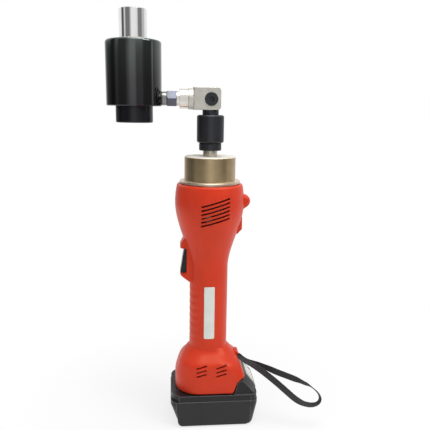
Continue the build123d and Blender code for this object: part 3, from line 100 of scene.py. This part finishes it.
# The same for the clouds of colour on cast and blasted metal, and their scale
metal_low = 0.25
metal_high = 0.65
metal_cloud = 95.0

# Plastic and turned metal, in metres: depths of relief, and the rounding of edges
flow_depth = 0.00004
red_grain = 0.000012
red_edge = 0.0012
black_grain = 0.00002
black_edge = 0.0014
turned_edge = 0.0003

# Painted highlights along the edges of the black plastic, pale edges in place of light caught there: their
# reach in metres, how alike the rounded and the plain facing are where an edge is palest, and their colour
edge_highlight_reach = 0.0012
edge_highlight_alike = 0.72
edge_highlight_grey = (0.22, 0.22, 0.23, 1)

# The nickel collar's top, a lapped finish whose paler colour is painted light from above: how far a face
# looks up where the lapped finish starts and where it is whole, how much rougher it is, and how metallic
lapped_and_lit_turn = (0.4, 0.8)
lapped_rough = 0.3
lapped_metal = 0.4

# Ribs beside the finger ripples, in metres and degrees
rib_pitch = 0.0095
rib_tilt = 12.0
rib_depth = 0.0005
rib_front = -0.016
rib_end = -0.006
rib_foot = 0.112
rib_head = 0.172

# Wrist strap, in metres: the webbing's size, the route of the part's strap, and its ends inside the lug
strap_width = 0.0078
strap_thickness = 0.0013
strap_selvedge = 0.0006
strap_facing = Vector((-0.05, -0.98, 0.18))
strap_start = (0.0376, -0.0004, 0.0828)
strap_end = (0.0384, -0.0046, 0.0816)
strap_route = (
    strap_start,
    (0.0416, -0.0015, 0.0818),
    (0.0460, -0.0044, 0.0782),
    (0.0520, -0.0080, 0.0760),
    (0.0585, -0.0132, 0.0756),
    (0.0672, -0.0215, 0.0760),
    (0.0765, -0.0295, 0.0748),
    (0.0860, -0.0355, 0.0726),
    (0.0970, -0.0395, 0.0698),
    (0.1100, -0.0415, 0.0650),
    (0.1240, -0.0430, 0.0586),
    (0.1354, -0.0440, 0.0510),
    (0.1418, -0.0450, 0.0424),
    (0.1412, -0.0460, 0.0352),
    (0.1346, -0.0470, 0.0316),
    (0.1230, -0.0480, 0.0330),
    (0.1096, -0.0495, 0.0408),
    (0.0964, -0.0495, 0.0534),
    (0.0844, -0.0465, 0.0638),
    (0.0740, -0.0395, 0.0704),
    (0.0652, -0.0315, 0.0748),
    (0.0576, -0.0230, 0.0768),
    (0.0502, -0.0148, 0.0772),
    (0.0430, -0.0078, 0.0800),
    strap_end,
)
# Steps of the smooth line between two points
strap_steps = 8
# Shares of the thickness just inside the bound edges and in the middle
strap_dip = 0.82
strap_middle = 0.9
# How far the webbing turns off its facing, in degrees, at shares of its length
strap_twist = ((0.0, 60.0), (0.06, 55.0), (0.14, 30.0), (0.22, 0.0), (0.31, 5.0), (0.37, 45.0),
               (0.42, 82.0), (0.50, 82.0), (0.57, 55.0), (0.64, 20.0), (0.74, 0.0), (0.84, 10.0),
               (0.92, 50.0), (1.0, 60.0))

# Springs that shorten as a joint moves: node, joint, body at its still end, that end's middle in metres,
# and the share of its length left at the joint's limit
short_springs = (
    ("ram_spring", "rod_slide", "ram", (-0.0906, 0.0, 0.3880), 0.53),
    ("sleeve_spring", "sleeve_pull", "coupler", (0.0, 0.0, 0.3882), 0.70),
    ("latch_spring", "latch_press", "battery", (0.0552, 0.0, 0.0418), 0.48),
)


def add(tree, kind, sockets=None, **settings):
    """Add a node, set its properties, and set or link its sockets."""
    made = tree.nodes.new(kind)
    for name, value in settings.items():
        setattr(made, name, value)
    for name, value in (sockets or {}).items():
        if isinstance(value, bpy.types.NodeSocket):
            tree.links.new(value, made.inputs[name])
        else:
            made.inputs[name].default_value = value
    return made


def new_material(name, metallic=0.0, specular=0.5, coat=0.0):
    """A material with its tree and its main shader."""
    made = bpy.data.materials.new(name)
    made.use_nodes = True
    tree = made.node_tree
    shader = tree.nodes["Principled BSDF"]
    shader.inputs["Metallic"].default_value = metallic
    shader.inputs["Specular IOR Level"].default_value = specular
    shader.inputs["Coat Weight"].default_value = coat
    return made, tree, shader


def coordinates(tree, kind="Object"):
    """Coordinates on the piece."""
    return add(tree, "ShaderNodeTexCoord").outputs[kind]


def place(tree, stretch=(1.0, 1.0, 1.0)):
    """Coordinates on the piece, stretched along its axes."""
    mapping = add(tree, "ShaderNodeMapping", {"Vector": coordinates(tree), "Scale": stretch})
    return mapping.outputs["Vector"]


def axis(tree, vector, name):
    """One coordinate of a vector."""
    return add(tree, "ShaderNodeSeparateXYZ", {"Vector": vector}).outputs[name]


def turn(tree, vector, angles):
    """A vector turned by angles in radians."""
    return add(tree, "ShaderNodeMapping", {"Vector": vector, "Rotation": angles}).outputs["Vector"]


def maths(tree, operation, *values):
    """One operation on values and sockets."""
    return add(tree, "ShaderNodeMath", dict(enumerate(values)), operation=operation).outputs["Value"]


def noise(tree, vector, scale, detail=3.0, rough=0.5):
    """Cloudy noise from 0 to 1."""
    made = add(tree, "ShaderNodeTexNoise", {"Vector": vector, "Scale": scale, "Detail": detail,
                                            "Roughness": rough})
    return made.outputs["Fac"]


def stripes(tree, vector, scale, direction, distortion=0.0):
    """Soft stripes from 0 to 1 across a direction."""
    made = add(tree, "ShaderNodeTexWave", {"Vector": vector, "Scale": scale, "Distortion": distortion},
               wave_type="BANDS", bands_direction=direction)
    return made.outputs["Fac"]


def ramp(tree, factor, stops):
    """Colours along a factor: (place, colour) pairs, the colour a grey or three numbers."""
    made = add(tree, "ShaderNodeValToRGB", {"Fac": factor})
    band = made.color_ramp
    band.elements.remove(band.elements[1])
    band.elements[0].position = stops[0][0]
    for at, _ in stops[1:]:
        band.elements.new(at)
    for element, (_, colour) in zip(band.elements, stops):
        element.color = (colour, colour, colour, 1) if isinstance(colour, float) else (*colour, 1)
    return made.outputs["Color"]


def tint(tree, factor, dark, light, start=noise_low, end=noise_high):
    """A factor turned into a colour between two limits."""
    return ramp(tree, factor, ((start, dark), (end, light)))


def spread(tree, factor, low, high, start=noise_low, end=noise_high):
    """A factor turned into a value between two limits."""
    made = add(tree, "ShaderNodeMapRange", {"Value": factor, "From Min": start, "From Max": end,
                                            "To Min": low, "To Max": high})
    return made.outputs["Result"]


def ease(tree, factor, low, start, end):
    """A factor turned into a value that rises smoothly from a low one to 1."""
    made = add(tree, "ShaderNodeMapRange", {"Value": factor, "From Min": start, "From Max": end,
                                            "To Min": low}, interpolation_type="SMOOTHSTEP")
    return made.outputs["Result"]


def blend(tree, factor, first, second):
    """A colour between two, by a factor."""
    made = add(tree, "ShaderNodeMix", {"Factor": factor, "A": first, "B": second}, data_type="RGBA")
    return made.outputs["Result"]


def mix_shaders(tree, factor, first, second):
    """A shader between two, by a factor."""
    return add(tree, "ShaderNodeMixShader", {"Fac": factor, 1: first, 2: second}).outputs["Shader"]


def relief(tree, shader, layers, edge=0.0):
    """Bump layers of (height, depth in metres) on edges rounded by a small radius."""
    normal = None
    if edge:
        normal = add(tree, "ShaderNodeBevel", {"Radius": edge}, samples=4).outputs["Normal"]
    for height, depth in layers:
        bump = add(tree, "ShaderNodeBump", {"Height": height, "Distance": depth, "Strength": 1.0})
        if normal is not None:
            tree.links.new(normal, bump.inputs["Normal"])
        normal = bump.outputs["Normal"]
    tree.links.new(normal, shader.inputs["Normal"])


def link(tree, shader, **sockets):
    """Link sockets of the main shader by name, with underscores for spaces."""
    for name, value in sockets.items():
        tree.links.new(value, shader.inputs[name.replace("_", " ")])


def finger_ribs(tree):
    """Shallow ribs that run on from the grip's finger ripples to its near and far sides."""
    where = coordinates(tree)
    tilted = turn(tree, where, (0, math.radians(rib_tilt), 0))
    # Stripes repeat every pi / (10 * scale)
    ribs = stripes(tree, tilted, scale=math.pi / (10 * rib_pitch), direction="Z")
    front = spread(tree, axis(tree, where, "X"), 1.0, 0.0, rib_front, rib_end)
    low = spread(tree, axis(tree, where, "Z"), 0.0, 1.0, rib_foot - rib_pitch, rib_foot)
    high = spread(tree, axis(tree, where, "Z"), 1.0, 0.0, rib_head, rib_head + rib_pitch)
    span = maths(tree, "MULTIPLY", low, high)
    field = maths(tree, "MULTIPLY", span, front)
    return maths(tree, "MULTIPLY", ribs, field)


def plastic_noise(tree):
    """Moulded plastic's clouds of colour, fine grain, and flow drawn out upwards."""
    where = place(tree)
    cloud = noise(tree, where, scale=22.0, detail=4.0)
    grain = noise(tree, where, scale=1900.0, detail=2.0)
    flow = noise(tree, place(tree, (1.0, 1.0, 0.25)), scale=60.0, detail=2.0)
    return cloud, grain, flow


def red_plastic():
    """The casing's red plastic, with ribs where the fingers lie and a warm gloss."""
    made, tree, shader = new_material("red_shell")
    shader.inputs["Specular Tint"].default_value = (1.0, 0.62, 0.42, 1)
    cloud, grain, flow = plastic_noise(tree)
    link(tree, shader,
         Base_Color=tint(tree, cloud, dark=(0.61, 0.033, 0.0110), light=(0.69, 0.040, 0.0135)),
         Roughness=spread(tree, flow, low=0.34, high=0.44))
    ribs = finger_ribs(tree)
    relief(tree, shader, ((ribs, rib_depth), (flow, flow_depth), (grain, red_grain)), red_edge)
    return made


def painted_edge_highlights(tree):
    """How near an edge a point lies, from 0 to 1, where a painted highlight lies along the edges."""
    rounded = add(tree, "ShaderNodeBevel", {"Radius": edge_highlight_reach}, samples=8).outputs["Normal"]
    facing = add(tree, "ShaderNodeNewGeometry").outputs["True Normal"]
    alike = add(tree, "ShaderNodeVectorMath", {0: rounded, 1: facing},
                operation="DOT_PRODUCT").outputs["Value"]
    return spread(tree, alike, 1.0, 0.0, edge_highlight_alike, 1.0)


def black_plastic(name, dark, light, smooth, rough, specular):
    """Black moulded plastic: cloudy colour, fine grain, uneven gloss and edges painted paler as a painted
    highlight.
    """
    made, tree, shader = new_material(name, specular=specular)
    cloud, grain, flow = plastic_noise(tree)
    link(tree, shader,
         # Painted highlight: the edges are blended towards a pale grey in place of light caught by them.
         Base_Color=blend(tree, painted_edge_highlights(tree), tint(tree, cloud, dark, light), edge_highlight_grey),
         Roughness=spread(tree, flow, smooth, rough))
    relief(tree, shader, ((flow, flow_depth), (grain, black_grain)), black_edge)
    return made


def label_film():
    """A bare label: pale film with a faint fibre and a soft gloss."""
    made, tree, shader = new_material("label_film")
    fibre = noise(tree, place(tree, (1.0, 1.0, 6.0)), scale=420.0, detail=4.0)
    cloud = noise(tree, place(tree), scale=55.0)
    link(tree, shader,
         Base_Color=tint(tree, cloud, dark=(0.70, 0.73, 0.67), light=(0.80, 0.83, 0.77)),
         Roughness=spread(tree, fibre, low=0.34, high=0.48))
    relief(tree, shader, ((fibre, 0.00003),), edge=0.0004)
    return made


def turned_metal(name, dark, light, smooth, rough, stretch, depth):
    """Machined metal: fine tool lines across the stretched axis and a cloudy sheen."""
    made, tree, shader = new_material(name, metallic=1.0)
    lines = noise(tree, place(tree, stretch), scale=240.0, detail=4.0, rough=0.6)
    cloud = noise(tree, place(tree), scale=70.0)
    link(tree, shader, Base_Color=tint(tree, cloud, dark, light),
         Roughness=spread(tree, lines, smooth, rough))
    relief(tree, shader, ((lines, depth),), turned_edge)
    return made


def metal_noise(tree, scale):
    """Cast or blasted metal's pits and its clouds of colour."""
    where = place(tree)
    pits = noise(tree, where, scale, detail=4.0, rough=0.65)
    cloud = noise(tree, where, metal_cloud, detail=4.0)
    return pits, cloud


def collar_nickel():
    """Warm nickel plate on the hydraulic block: fine grain on its sides, a rougher lapped top whose paler
    colour is painted light from above.
    """
    made, tree, shader = new_material("collar_nickel", metallic=1.0)
    upward = axis(tree, coordinates(tree, "Normal"), "Z")
    lapped_and_lit = spread(tree, upward, 0.0, 1.0, *lapped_and_lit_turn)
    pits, cloud = metal_noise(tree, scale=2400.0)
    sides = tint(tree, cloud, (0.41, 0.305, 0.172), (0.48, 0.365, 0.21), metal_low, metal_high)
    # Painted light: faces that look up take this paler colour, as if lit from above.
    top = tint(tree, cloud, (0.72, 0.68, 0.61), (0.82, 0.78, 0.71), metal_low, metal_high)
    grain = spread(tree, pits, low=0.30, high=0.38)
    link(tree, shader, Base_Color=blend(tree, lapped_and_lit, sides, top),
         Roughness=maths(tree, "MULTIPLY_ADD", lapped_and_lit, lapped_rough, grain),
         Metallic=spread(tree, upward, 1.0, lapped_metal, *lapped_and_lit_turn))
    relief(tree, shader, ((pits, 0.000012),), edge=0.0005)
    return made


def grained_metal(name, dark, light, smooth, rough, scale, depth, edge=0.0004):
    """Blasted or cast metal: pitted all over, with cloudy colour."""
    made, tree, shader = new_material(name, metallic=1.0)
    pits, cloud = metal_noise(tree, scale)
    link(tree, shader, Base_Color=tint(tree, cloud, dark, light, metal_low, metal_high),
         Roughness=spread(tree, pits, smooth, rough))
    relief(tree, shader, ((pits, depth),), edge)
    return made


def finish_noise(tree):
    """A black finish's faint waves, drawn out upwards, and its worn specks."""
    wave = noise(tree, place(tree, (1.0, 1.0, 0.12)), scale=48.0, detail=2.0)
    specks = noise(tree, place(tree), scale=800.0)
    return wave, specks


def coated_metal(name, dark, light, smooth, rough, edge):
    """Black finished steel, with faint waves and worn specks."""
    made, tree, shader = new_material(name, metallic=1.0)
    wave, specks = finish_noise(tree)
    link(tree, shader, Base_Color=tint(tree, wave, dark, light),
         Roughness=spread(tree, specks, smooth, rough))
    relief(tree, shader, ((specks, 0.000006),), edge)
    return made


def ram_enamel():
    """Glossy black finish on the ram, with a painted highlight: a little greener and lighter towards its
    head.
    """
    made, tree, shader = new_material("ram_enamel", metallic=1.0)
    rise = axis(tree, coordinates(tree, "Generated"), "Z")
    wave, specks = finish_noise(tree)
    # Painted highlight: the colour rises greener and lighter with height.
    level = maths(tree, "MULTIPLY_ADD", wave, 0.25, rise)
    painted_highlight_shades = ((0.1, (0.058, 0.057, 0.062)), (0.55, (0.076, 0.076, 0.078)), (1.0, (0.112, 0.128, 0.124)))
    link(tree, shader, Base_Color=ramp(tree, level, painted_highlight_shades),
         Roughness=spread(tree, specks, low=0.05, high=0.10))
    relief(tree, shader, ((specks, 0.000006),), edge=0.0006)
    return made


def rubber(name, dark, light):
    """Matte rubber with a fine powdery skin."""
    made, tree, shader = new_material(name)
    skin = noise(tree, place(tree), scale=1300.0)
    cloud = noise(tree, place(tree), scale=90.0)
    link(tree, shader, Base_Color=tint(tree, cloud, dark, light),
         Roughness=spread(tree, skin, low=0.55, high=0.75))
    relief(tree, shader, ((skin, 0.00002),), edge=0.0003)
    return made


def circuit_board():
    """Green solder mask with tracks and pads."""
    made, tree, shader = new_material("circuit_board")
    where = place(tree)
    tracks = add(tree, "ShaderNodeTexBrick",
                 {"Vector": where, "Scale": 190.0, "Mortar Size": 0.06, "Color1": (0.010, 0.11, 0.035, 1),
                  "Color2": (0.016, 0.15, 0.05, 1), "Mortar": (0.05, 0.26, 0.09, 1)})
    cloud = noise(tree, where, scale=500.0, detail=2.0)
    link(tree, shader, Base_Color=tracks.outputs["Color"],
         Roughness=spread(tree, cloud, low=0.25, high=0.42))
    relief(tree, shader, ((tracks.outputs["Fac"], 0.00003),))
    return made


def cell_wrap():
    """Shrink wrap on the cells: coloured film with faint folds."""
    made, tree, shader = new_material("cell_wrap", coat=0.2)
    folds = noise(tree, place(tree, (1.0, 0.15, 1.0)), scale=260.0)
    link(tree, shader,
         Base_Color=tint(tree, folds, dark=(0.05, 0.13, 0.33), light=(0.09, 0.21, 0.46)),
         Roughness=spread(tree, folds, low=0.22, high=0.4))
    relief(tree, shader, ((folds, 0.00004),))
    return made


def release_button_finish():
    """Silver painted plastic with moulded grip ribs across the push face."""
    made, tree, shader = new_material("release_button", metallic=0.55)
    ribs = stripes(tree, place(tree), scale=90.0, direction="Z")
    flakes = noise(tree, place(tree), scale=2200.0, detail=2.0)
    link(tree, shader,
         Base_Color=tint(tree, flakes, dark=(0.68, 0.68, 0.63), light=(0.78, 0.78, 0.73)),
         Roughness=spread(tree, flakes, low=0.3, high=0.45))
    relief(tree, shader, ((ribs, 0.0002), (flakes, 0.00001)), edge=0.0005)
    return made


def woven_webbing():
    """Black webbing: ribs across and a twill, by the ribbon's own coordinates, with fine fibres."""
    made, tree, shader = new_material("woven_webbing")
    shader.inputs["Sheen Weight"].default_value = 0.25
    shader.inputs["Sheen Roughness"].default_value = 0.4
    along = coordinates(tree, "UV")
    ribs = stripes(tree, along, scale=420.0, direction="Y", distortion=0.6)
    twill = stripes(tree, along, scale=300.0, direction="DIAGONAL", distortion=0.4)
    fibres = noise(tree, place(tree), scale=2600.0)
    weave = maths(tree, "MULTIPLY", ribs, twill)
    link(tree, shader,
         Base_Color=tint(tree, weave, (0.010, 0.010, 0.012), (0.034, 0.034, 0.037), start=0.0, end=0.8),
         Roughness=spread(tree, fibres, low=0.6, high=0.85))
    relief(tree, shader, ((weave, 0.00018), (fibres, 0.00003)))
    return made


def dress(finish, *names):
    """Give CAD nodes their finish."""
    for name in names:
        data = nodes[name].data
        data.materials.clear()
        data.materials.append(finish)


def dress_plastic():
    """Finishes of the plastic, rubber and electric pieces."""
    dress(red_plastic(), "casing_near", "casing_far", "retract_lever")
    dress(black_plastic("black_shell", dark=(0.009, 0.009, 0.010), light=(0.014, 0.014, 0.0155),
                        smooth=0.28, rough=0.40, specular=0.30),
          "battery_lid", "trigger", "trigger_switch", "battery_terminals", "motor_end_cap")
    dress(black_plastic("tray_black", dark=(0.013, 0.013, 0.0145), light=(0.019, 0.019, 0.021),
                        smooth=0.30, rough=0.42, specular=0.35),
          "battery_tray")
    dress(label_film(), "label_plate")
    dress(release_button_finish(), "release_button")
    dress(rubber("carbon_brush", dark=(0.015, 0.015, 0.016), light=(0.045, 0.045, 0.047)),
          "motor_brushes")
    dress(rubber("black_rubber", dark=(0.014, 0.014, 0.014), light=(0.03, 0.03, 0.03)),
          "oil_bladder", "piston_seal", "power_leads", "wrist_strap")
    dress(rubber("pale_wiper", dark=(0.40, 0.38, 0.32), light=(0.55, 0.52, 0.45)),
          "rod_wiper")
    dress(circuit_board(), "control_board", "cell_board")
    dress(cell_wrap(), "battery_cells")


def dress_turned_metal():
    """Finishes of the turned, drawn and ground pieces."""
    dress(turned_metal("warm_nickel", dark=(0.62, 0.51, 0.39), light=(0.71, 0.59, 0.46),
                       smooth=0.28, rough=0.40, stretch=(1.0, 1.0, 14.0), depth=0.000008),
          "lock_ring")
    dress(turned_metal("grey_nipple_steel", dark=(0.46, 0.42, 0.34), light=(0.54, 0.50, 0.42),
                       smooth=0.26, rough=0.38, stretch=(1.0, 1.0, 14.0), depth=0.000008),
          "coupler_nipple")
    dress(turned_metal("turned_bright_steel", dark=(0.62, 0.60, 0.57), light=(0.74, 0.72, 0.69),
                       smooth=0.16, rough=0.30, stretch=(1.0, 1.0, 14.0), depth=0.000008),
          "pump_plunger", "coupler_balls", "eccentric_bearing",
          "trigger_pin", "lever_pin", "motor_bearings", "spring_stop_ring")
    dress(turned_metal("turned_fitting_steel", dark=(0.66, 0.63, 0.59), light=(0.78, 0.75, 0.71),
                       smooth=0.18, rough=0.32, stretch=(14.0, 1.0, 1.0), depth=0.00001),
          "swivel_stub")
    dress(turned_metal("grey_washer_steel", dark=(0.20, 0.20, 0.19), light=(0.28, 0.28, 0.27),
                       smooth=0.20, rough=0.34, stretch=(14.0, 1.0, 1.0), depth=0.00001),
          "sealing_washer")
    dress(turned_metal("drawn_spring_steel", dark=(0.34, 0.34, 0.35), light=(0.48, 0.48, 0.49),
                       smooth=0.25, rough=0.42, stretch=(3.0, 3.0, 1.0), depth=0.000008),
          "plunger_spring", "latch_spring", "sleeve_spring", "ram_spring")
    dress(turned_metal("ground_gear_steel", dark=(0.42, 0.42, 0.42), light=(0.54, 0.54, 0.54),
                       smooth=0.22, rough=0.38, stretch=(1.0, 1.0, 10.0), depth=0.00001),
          "ring_gear", "sun_gear", "planet_carrier", "planet_gear_1", "planet_gear_2", "planet_gear_3",
          "release_valve", "valve_plugs")
    # Painted shade: the motor can and armature are darkened so that the inside seen through the vents stays
    # shaded, without glints.
    dress(turned_metal("motor_steel_painted_shade", dark=(0.045, 0.045, 0.05), light=(0.08, 0.08, 0.085),
                       smooth=0.34, rough=0.48, stretch=(1.0, 1.0, 18.0), depth=0.00001),
          "motor_can", "motor_armature")
    dress(turned_metal("plated_brass", dark=(0.55, 0.38, 0.13), light=(0.72, 0.52, 0.22),
                       smooth=0.2, rough=0.34, stretch=(6.0, 1.0, 1.0), depth=0.000006),
          "battery_contacts")
    dress(turned_metal("hard_chrome", dark=(0.78, 0.78, 0.78), light=(0.84, 0.84, 0.84),
                       smooth=0.03, rough=0.08, stretch=(1.0, 1.0, 10.0), depth=0.000002),
          "ram_rod")


def dress_other_metal():
    """Finishes of the plated, cast, blasted and black finished pieces."""
    dress(collar_nickel(), "hydraulic_block")
    dress(grained_metal("oxide_screws", dark=(0.018, 0.018, 0.019), light=(0.05, 0.05, 0.052),
                        smooth=0.35, rough=0.5, scale=1500.0, depth=0.00001),
          "casing_screws", "tray_screws")
    dress(grained_metal("sintered_magnet", dark=(0.07, 0.07, 0.08), light=(0.13, 0.13, 0.14),
                        smooth=0.5, rough=0.7, scale=1100.0, depth=0.00003),
          "motor_magnets")
    dress(grained_metal("satin_alloy", dark=(0.52, 0.50, 0.45), light=(0.62, 0.60, 0.55),
                        smooth=0.38, rough=0.52, scale=1700.0, depth=0.000014, edge=0.0007),
          "elbow_block")
    dress(coated_metal("black_oxide_steel", dark=(0.044, 0.045, 0.050), light=(0.066, 0.067, 0.074),
                       smooth=0.36, rough=0.48, edge=0.0005),
          "coupler_body", "coupler_sleeve", "elbow_plug")
    dress(coated_metal("blued_nut_steel", dark=(0.085, 0.088, 0.105), light=(0.12, 0.125, 0.15),
                       smooth=0.22, rough=0.34, edge=0.0006),
          "hex_nut")
    dress(ram_enamel(), "ram_cylinder")
    dress(coated_metal("satin_black_cap", dark=(0.032, 0.032, 0.037), light=(0.040, 0.040, 0.045),
                       smooth=0.28, rough=0.40, edge=0.0006),
          "ram_end_cap")


def strap_path():
    """Points along the strap's smooth line."""
    curve = bpy.data.curves.new("strap_line", "CURVE")
    curve.dimensions = "3D"
    curve.resolution_u = strap_steps
    spline = curve.splines.new("NURBS")
    spline.points.add(len(strap_route) - 1)
    for point, place_at in zip(spline.points, strap_route):
        point.co = (*place_at, 1.0)
    spline.order_u = 3
    spline.use_endpoint_u = True
    holder = bpy.data.objects.new("strap_line", curve)
    scene.collection.objects.link(holder)
    bpy.context.view_layer.update()
    mesh = bpy.data.meshes.new_from_object(holder)
    points = [vertex.co.copy() for vertex in mesh.vertices]
    bpy.data.objects.remove(holder)
    bpy.data.meshes.remove(mesh)
    return points


def twist_at(share):
    """The webbing's turn at a share of its length, in radians."""
    for (start, low), (end, high) in zip(strap_twist, strap_twist[1:]):
        if share <= end:
            step = (share - start) / (end - start)
            smooth = step * step * (3 - 2 * step)
            return math.radians(low + (high - low) * smooth)
    return math.radians(strap_twist[-1][1])


def strap_section():
    """The webbing's outline across: points (across, out) round a flat band with bound edges."""
    half = strap_width / 2
    thick = strap_thickness / 2
    rim = half - strap_selvedge
    dip = half - 2 * strap_selvedge
    top = ((-rim, thick), (-dip, thick * strap_dip), (0.0, thick * strap_middle),
           (dip, thick * strap_dip), (rim, thick))
    under = [(across, -out) for across, out in reversed(top)]
    return [(-half, 0.0), *top, (half, 0.0), *under]


def ribbon(name, points):
    """The webbing along points, with coordinates in metres across and along it."""
    section = strap_section()
    reach = [0.0]
    for before, after in zip(points, points[1:]):
        reach.append(reach[-1] + (after - before).length)
    vertices = []
    for i, point in enumerate(points):
        ahead = points[min(i + 1, len(points) - 1)] - points[max(i - 1, 0)]
        ahead.normalize()
        across = ahead.cross(strap_facing).normalized()
        across.rotate(Matrix.Rotation(twist_at(reach[i] / reach[-1]), 3, ahead))
        out = across.cross(ahead).normalized()
        vertices += [point + across * a + out * b for a, b in section]
    count = len(section)
    faces = []
    for i in range(len(points) - 1):
        for k in range(count):
            after = (k + 1) % count
            faces.append((i * count + k, i * count + after, (i + 1) * count + after, (i + 1) * count + k))
    faces.append(tuple(range(count - 1, -1, -1)))
    faces.append(tuple(range(len(vertices) - count, len(vertices))))
    mesh = bpy.data.meshes.new(name)
    mesh.from_pydata(vertices, [], faces)
    layer = mesh.uv_layers.new(name="weave")
    for loop in mesh.loops:
        row, column = divmod(loop.vertex_index, count)
        layer.data[loop.index].uv = (section[column][0], reach[row])
    for face in mesh.polygons:
        face.use_smooth = True
    made = bpy.data.objects.new(name, mesh)
    scene.collection.objects.link(made)
    return made


def make_strap():
    """The wrist strap, in place of its plain solid."""
    points = strap_path()
    strap = ribbon("webbing_strap", points)
    strap.data.materials.append(woven_webbing())
    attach(strap, "tool")
    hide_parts("wrist_strap")


def make_springs():
    """Copies of the springs, each carried by its body, in place of their solids."""
    for name, joint, body, still_end, share in short_springs:
        spring = bpy.data.objects.new(name + "_coil", nodes[name].data.copy())
        scene.collection.objects.link(spring)
        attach(spring, body)
        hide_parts(name)
        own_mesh(spring)


def floor_finish():
    """White that takes the shadow near the tool and is plain white further out, for the camera and gloss."""
    made = bpy.data.materials.new("white_floor")
    made.use_nodes = True
    tree = made.node_tree
    tree.nodes.clear()
    reach = add(tree, "ShaderNodeVectorMath", {0: place(tree)}, operation="LENGTH").outputs["Value"]
    share = ease(tree, reach, floor_glow, shadow_start, shadow_end)
    speckle = noise(tree, place(tree), floor_speckle)
    lit = add(tree, "ShaderNodeBsdfDiffuse", {"Color": tint(tree, speckle, floor_dark, floor_light)})
    plain = add(tree, "ShaderNodeEmission", {"Color": white, "Strength": 1.0})
    path = add(tree, "ShaderNodeLightPath")
    seen = maths(tree, "MAXIMUM", path.outputs["Is Camera Ray"], path.outputs["Is Glossy Ray"])
    factor = maths(tree, "MULTIPLY", seen, share)
    mixed = mix_shaders(tree, factor, lit.outputs["BSDF"], plain.outputs["Emission"])
    add(tree, "ShaderNodeOutputMaterial", {"Surface": mixed})
    return made


def make_floor():
    """A square of white floor under the tool."""
    mesh = bpy.data.meshes.new("floor")
    corners = [(-floor_half, -floor_half, 0), (floor_half, -floor_half, 0),
               (floor_half, floor_half, 0), (-floor_half, floor_half, 0)]
    mesh.from_pydata(corners, [], [(0, 1, 2, 3)])
    mesh.materials.append(floor_finish())
    floor = bpy.data.objects.new("floor", mesh)
    scene.collection.objects.link(floor)


def wall_stops(walls):
    """The walls as stops of a ramp that starts behind the tool."""
    return [((angle + 180) / 360, grey) for angle, grey in walls]


def backdrop(tree, colour, strength):
    """A world of one colour or socket."""
    made = add(tree, "ShaderNodeBackground", {"Color": colour, "Strength": strength})
    return made.outputs["Background"]


def make_world():
    """White for the camera and for rays let through, a room with light and dark walls for reflections."""
    world = bpy.data.worlds.new("studio")
    scene.world = world
    world.use_nodes = True
    tree = world.node_tree
    tree.nodes.clear()
    direction = coordinates(tree, "Generated")
    turned = turn(tree, direction, (0, 0, math.radians(wall_turn)))
    around = add(tree, "ShaderNodeTexGradient", {"Vector": turned}, gradient_type="RADIAL").outputs["Fac"]
    height = axis(tree, direction, "Z")
    above = spread(tree, height, 0.0, 1.0, *wall_change)
    walls = blend(tree, above, ramp(tree, around, wall_stops(low_walls)),
                  ramp(tree, around, wall_stops(high_walls)))
    room = blend(tree, ease(tree, height, 0.0, *ceiling_rise), walls, ceiling_colour)
    path = add(tree, "ShaderNodeLightPath")
    soft = mix_shaders(tree, path.outputs["Is Glossy Ray"], backdrop(tree, white, world_fill),
                       backdrop(tree, room, 1.0))
    seen = backdrop(tree, white, 1.0)
    clear = mix_shaders(tree, path.outputs["Is Transmission Ray"], soft, seen)
    whole = mix_shaders(tree, path.outputs["Is Camera Ray"], clear, seen)
    add(tree, "ShaderNodeOutputWorld", {"Surface": whole})


def make_lamps():
    """A broad lamp above, a key high at the right and a weak one at the left, all square."""
    for name, place_at, size, watts, mirrored in lamps:
        data = bpy.data.lights.new(name, "AREA")
        data.size = size
        data.energy = watts
        lamp = bpy.data.objects.new(name, data)
        lamp.location = place_at
        aim = lamp_target - Vector(place_at)
        lamp.rotation_euler = aim.to_track_quat("-Z", "Y").to_euler()
        lamp.visible_glossy = mirrored
        scene.collection.objects.link(lamp)


def make_camera():
    """The photograph's viewpoint."""
    side = math.radians(camera_side)
    heading = math.radians(camera_heading)
    pitch = math.radians(camera_pitch)
    roll = math.radians(camera_roll)
    level = Vector((math.sin(heading), math.cos(heading), 0.0))
    forward = level * math.cos(pitch) - Vector((0, 0, 1)) * math.sin(pitch)
    right = Vector((math.cos(heading), -math.sin(heading), 0.0))
    up = right.cross(forward)
    picture_right = right * math.cos(roll) + up * math.sin(roll)
    picture_up = up * math.cos(roll) - right * math.sin(roll)
    data = bpy.data.cameras.new("camera")
    data.sensor_width = sensor_width
    data.sensor_fit = "HORIZONTAL"
    data.lens = focal_pixels / image_size * sensor_width
    data.clip_start = camera_near
    camera = bpy.data.objects.new("camera", data)
    facing = Matrix((picture_right, picture_up, -forward)).transposed().to_4x4()
    stand = Vector((-camera_distance * math.sin(side), -camera_distance * math.cos(side), camera_height))
    camera.matrix_world = Matrix.Translation(stand) @ facing
    scene.collection.objects.link(camera)
    scene.camera = camera


dress_plastic()
dress_turned_metal()
dress_other_metal()
make_strap()
make_springs()
make_floor()
make_world()
make_lamps()
make_camera()
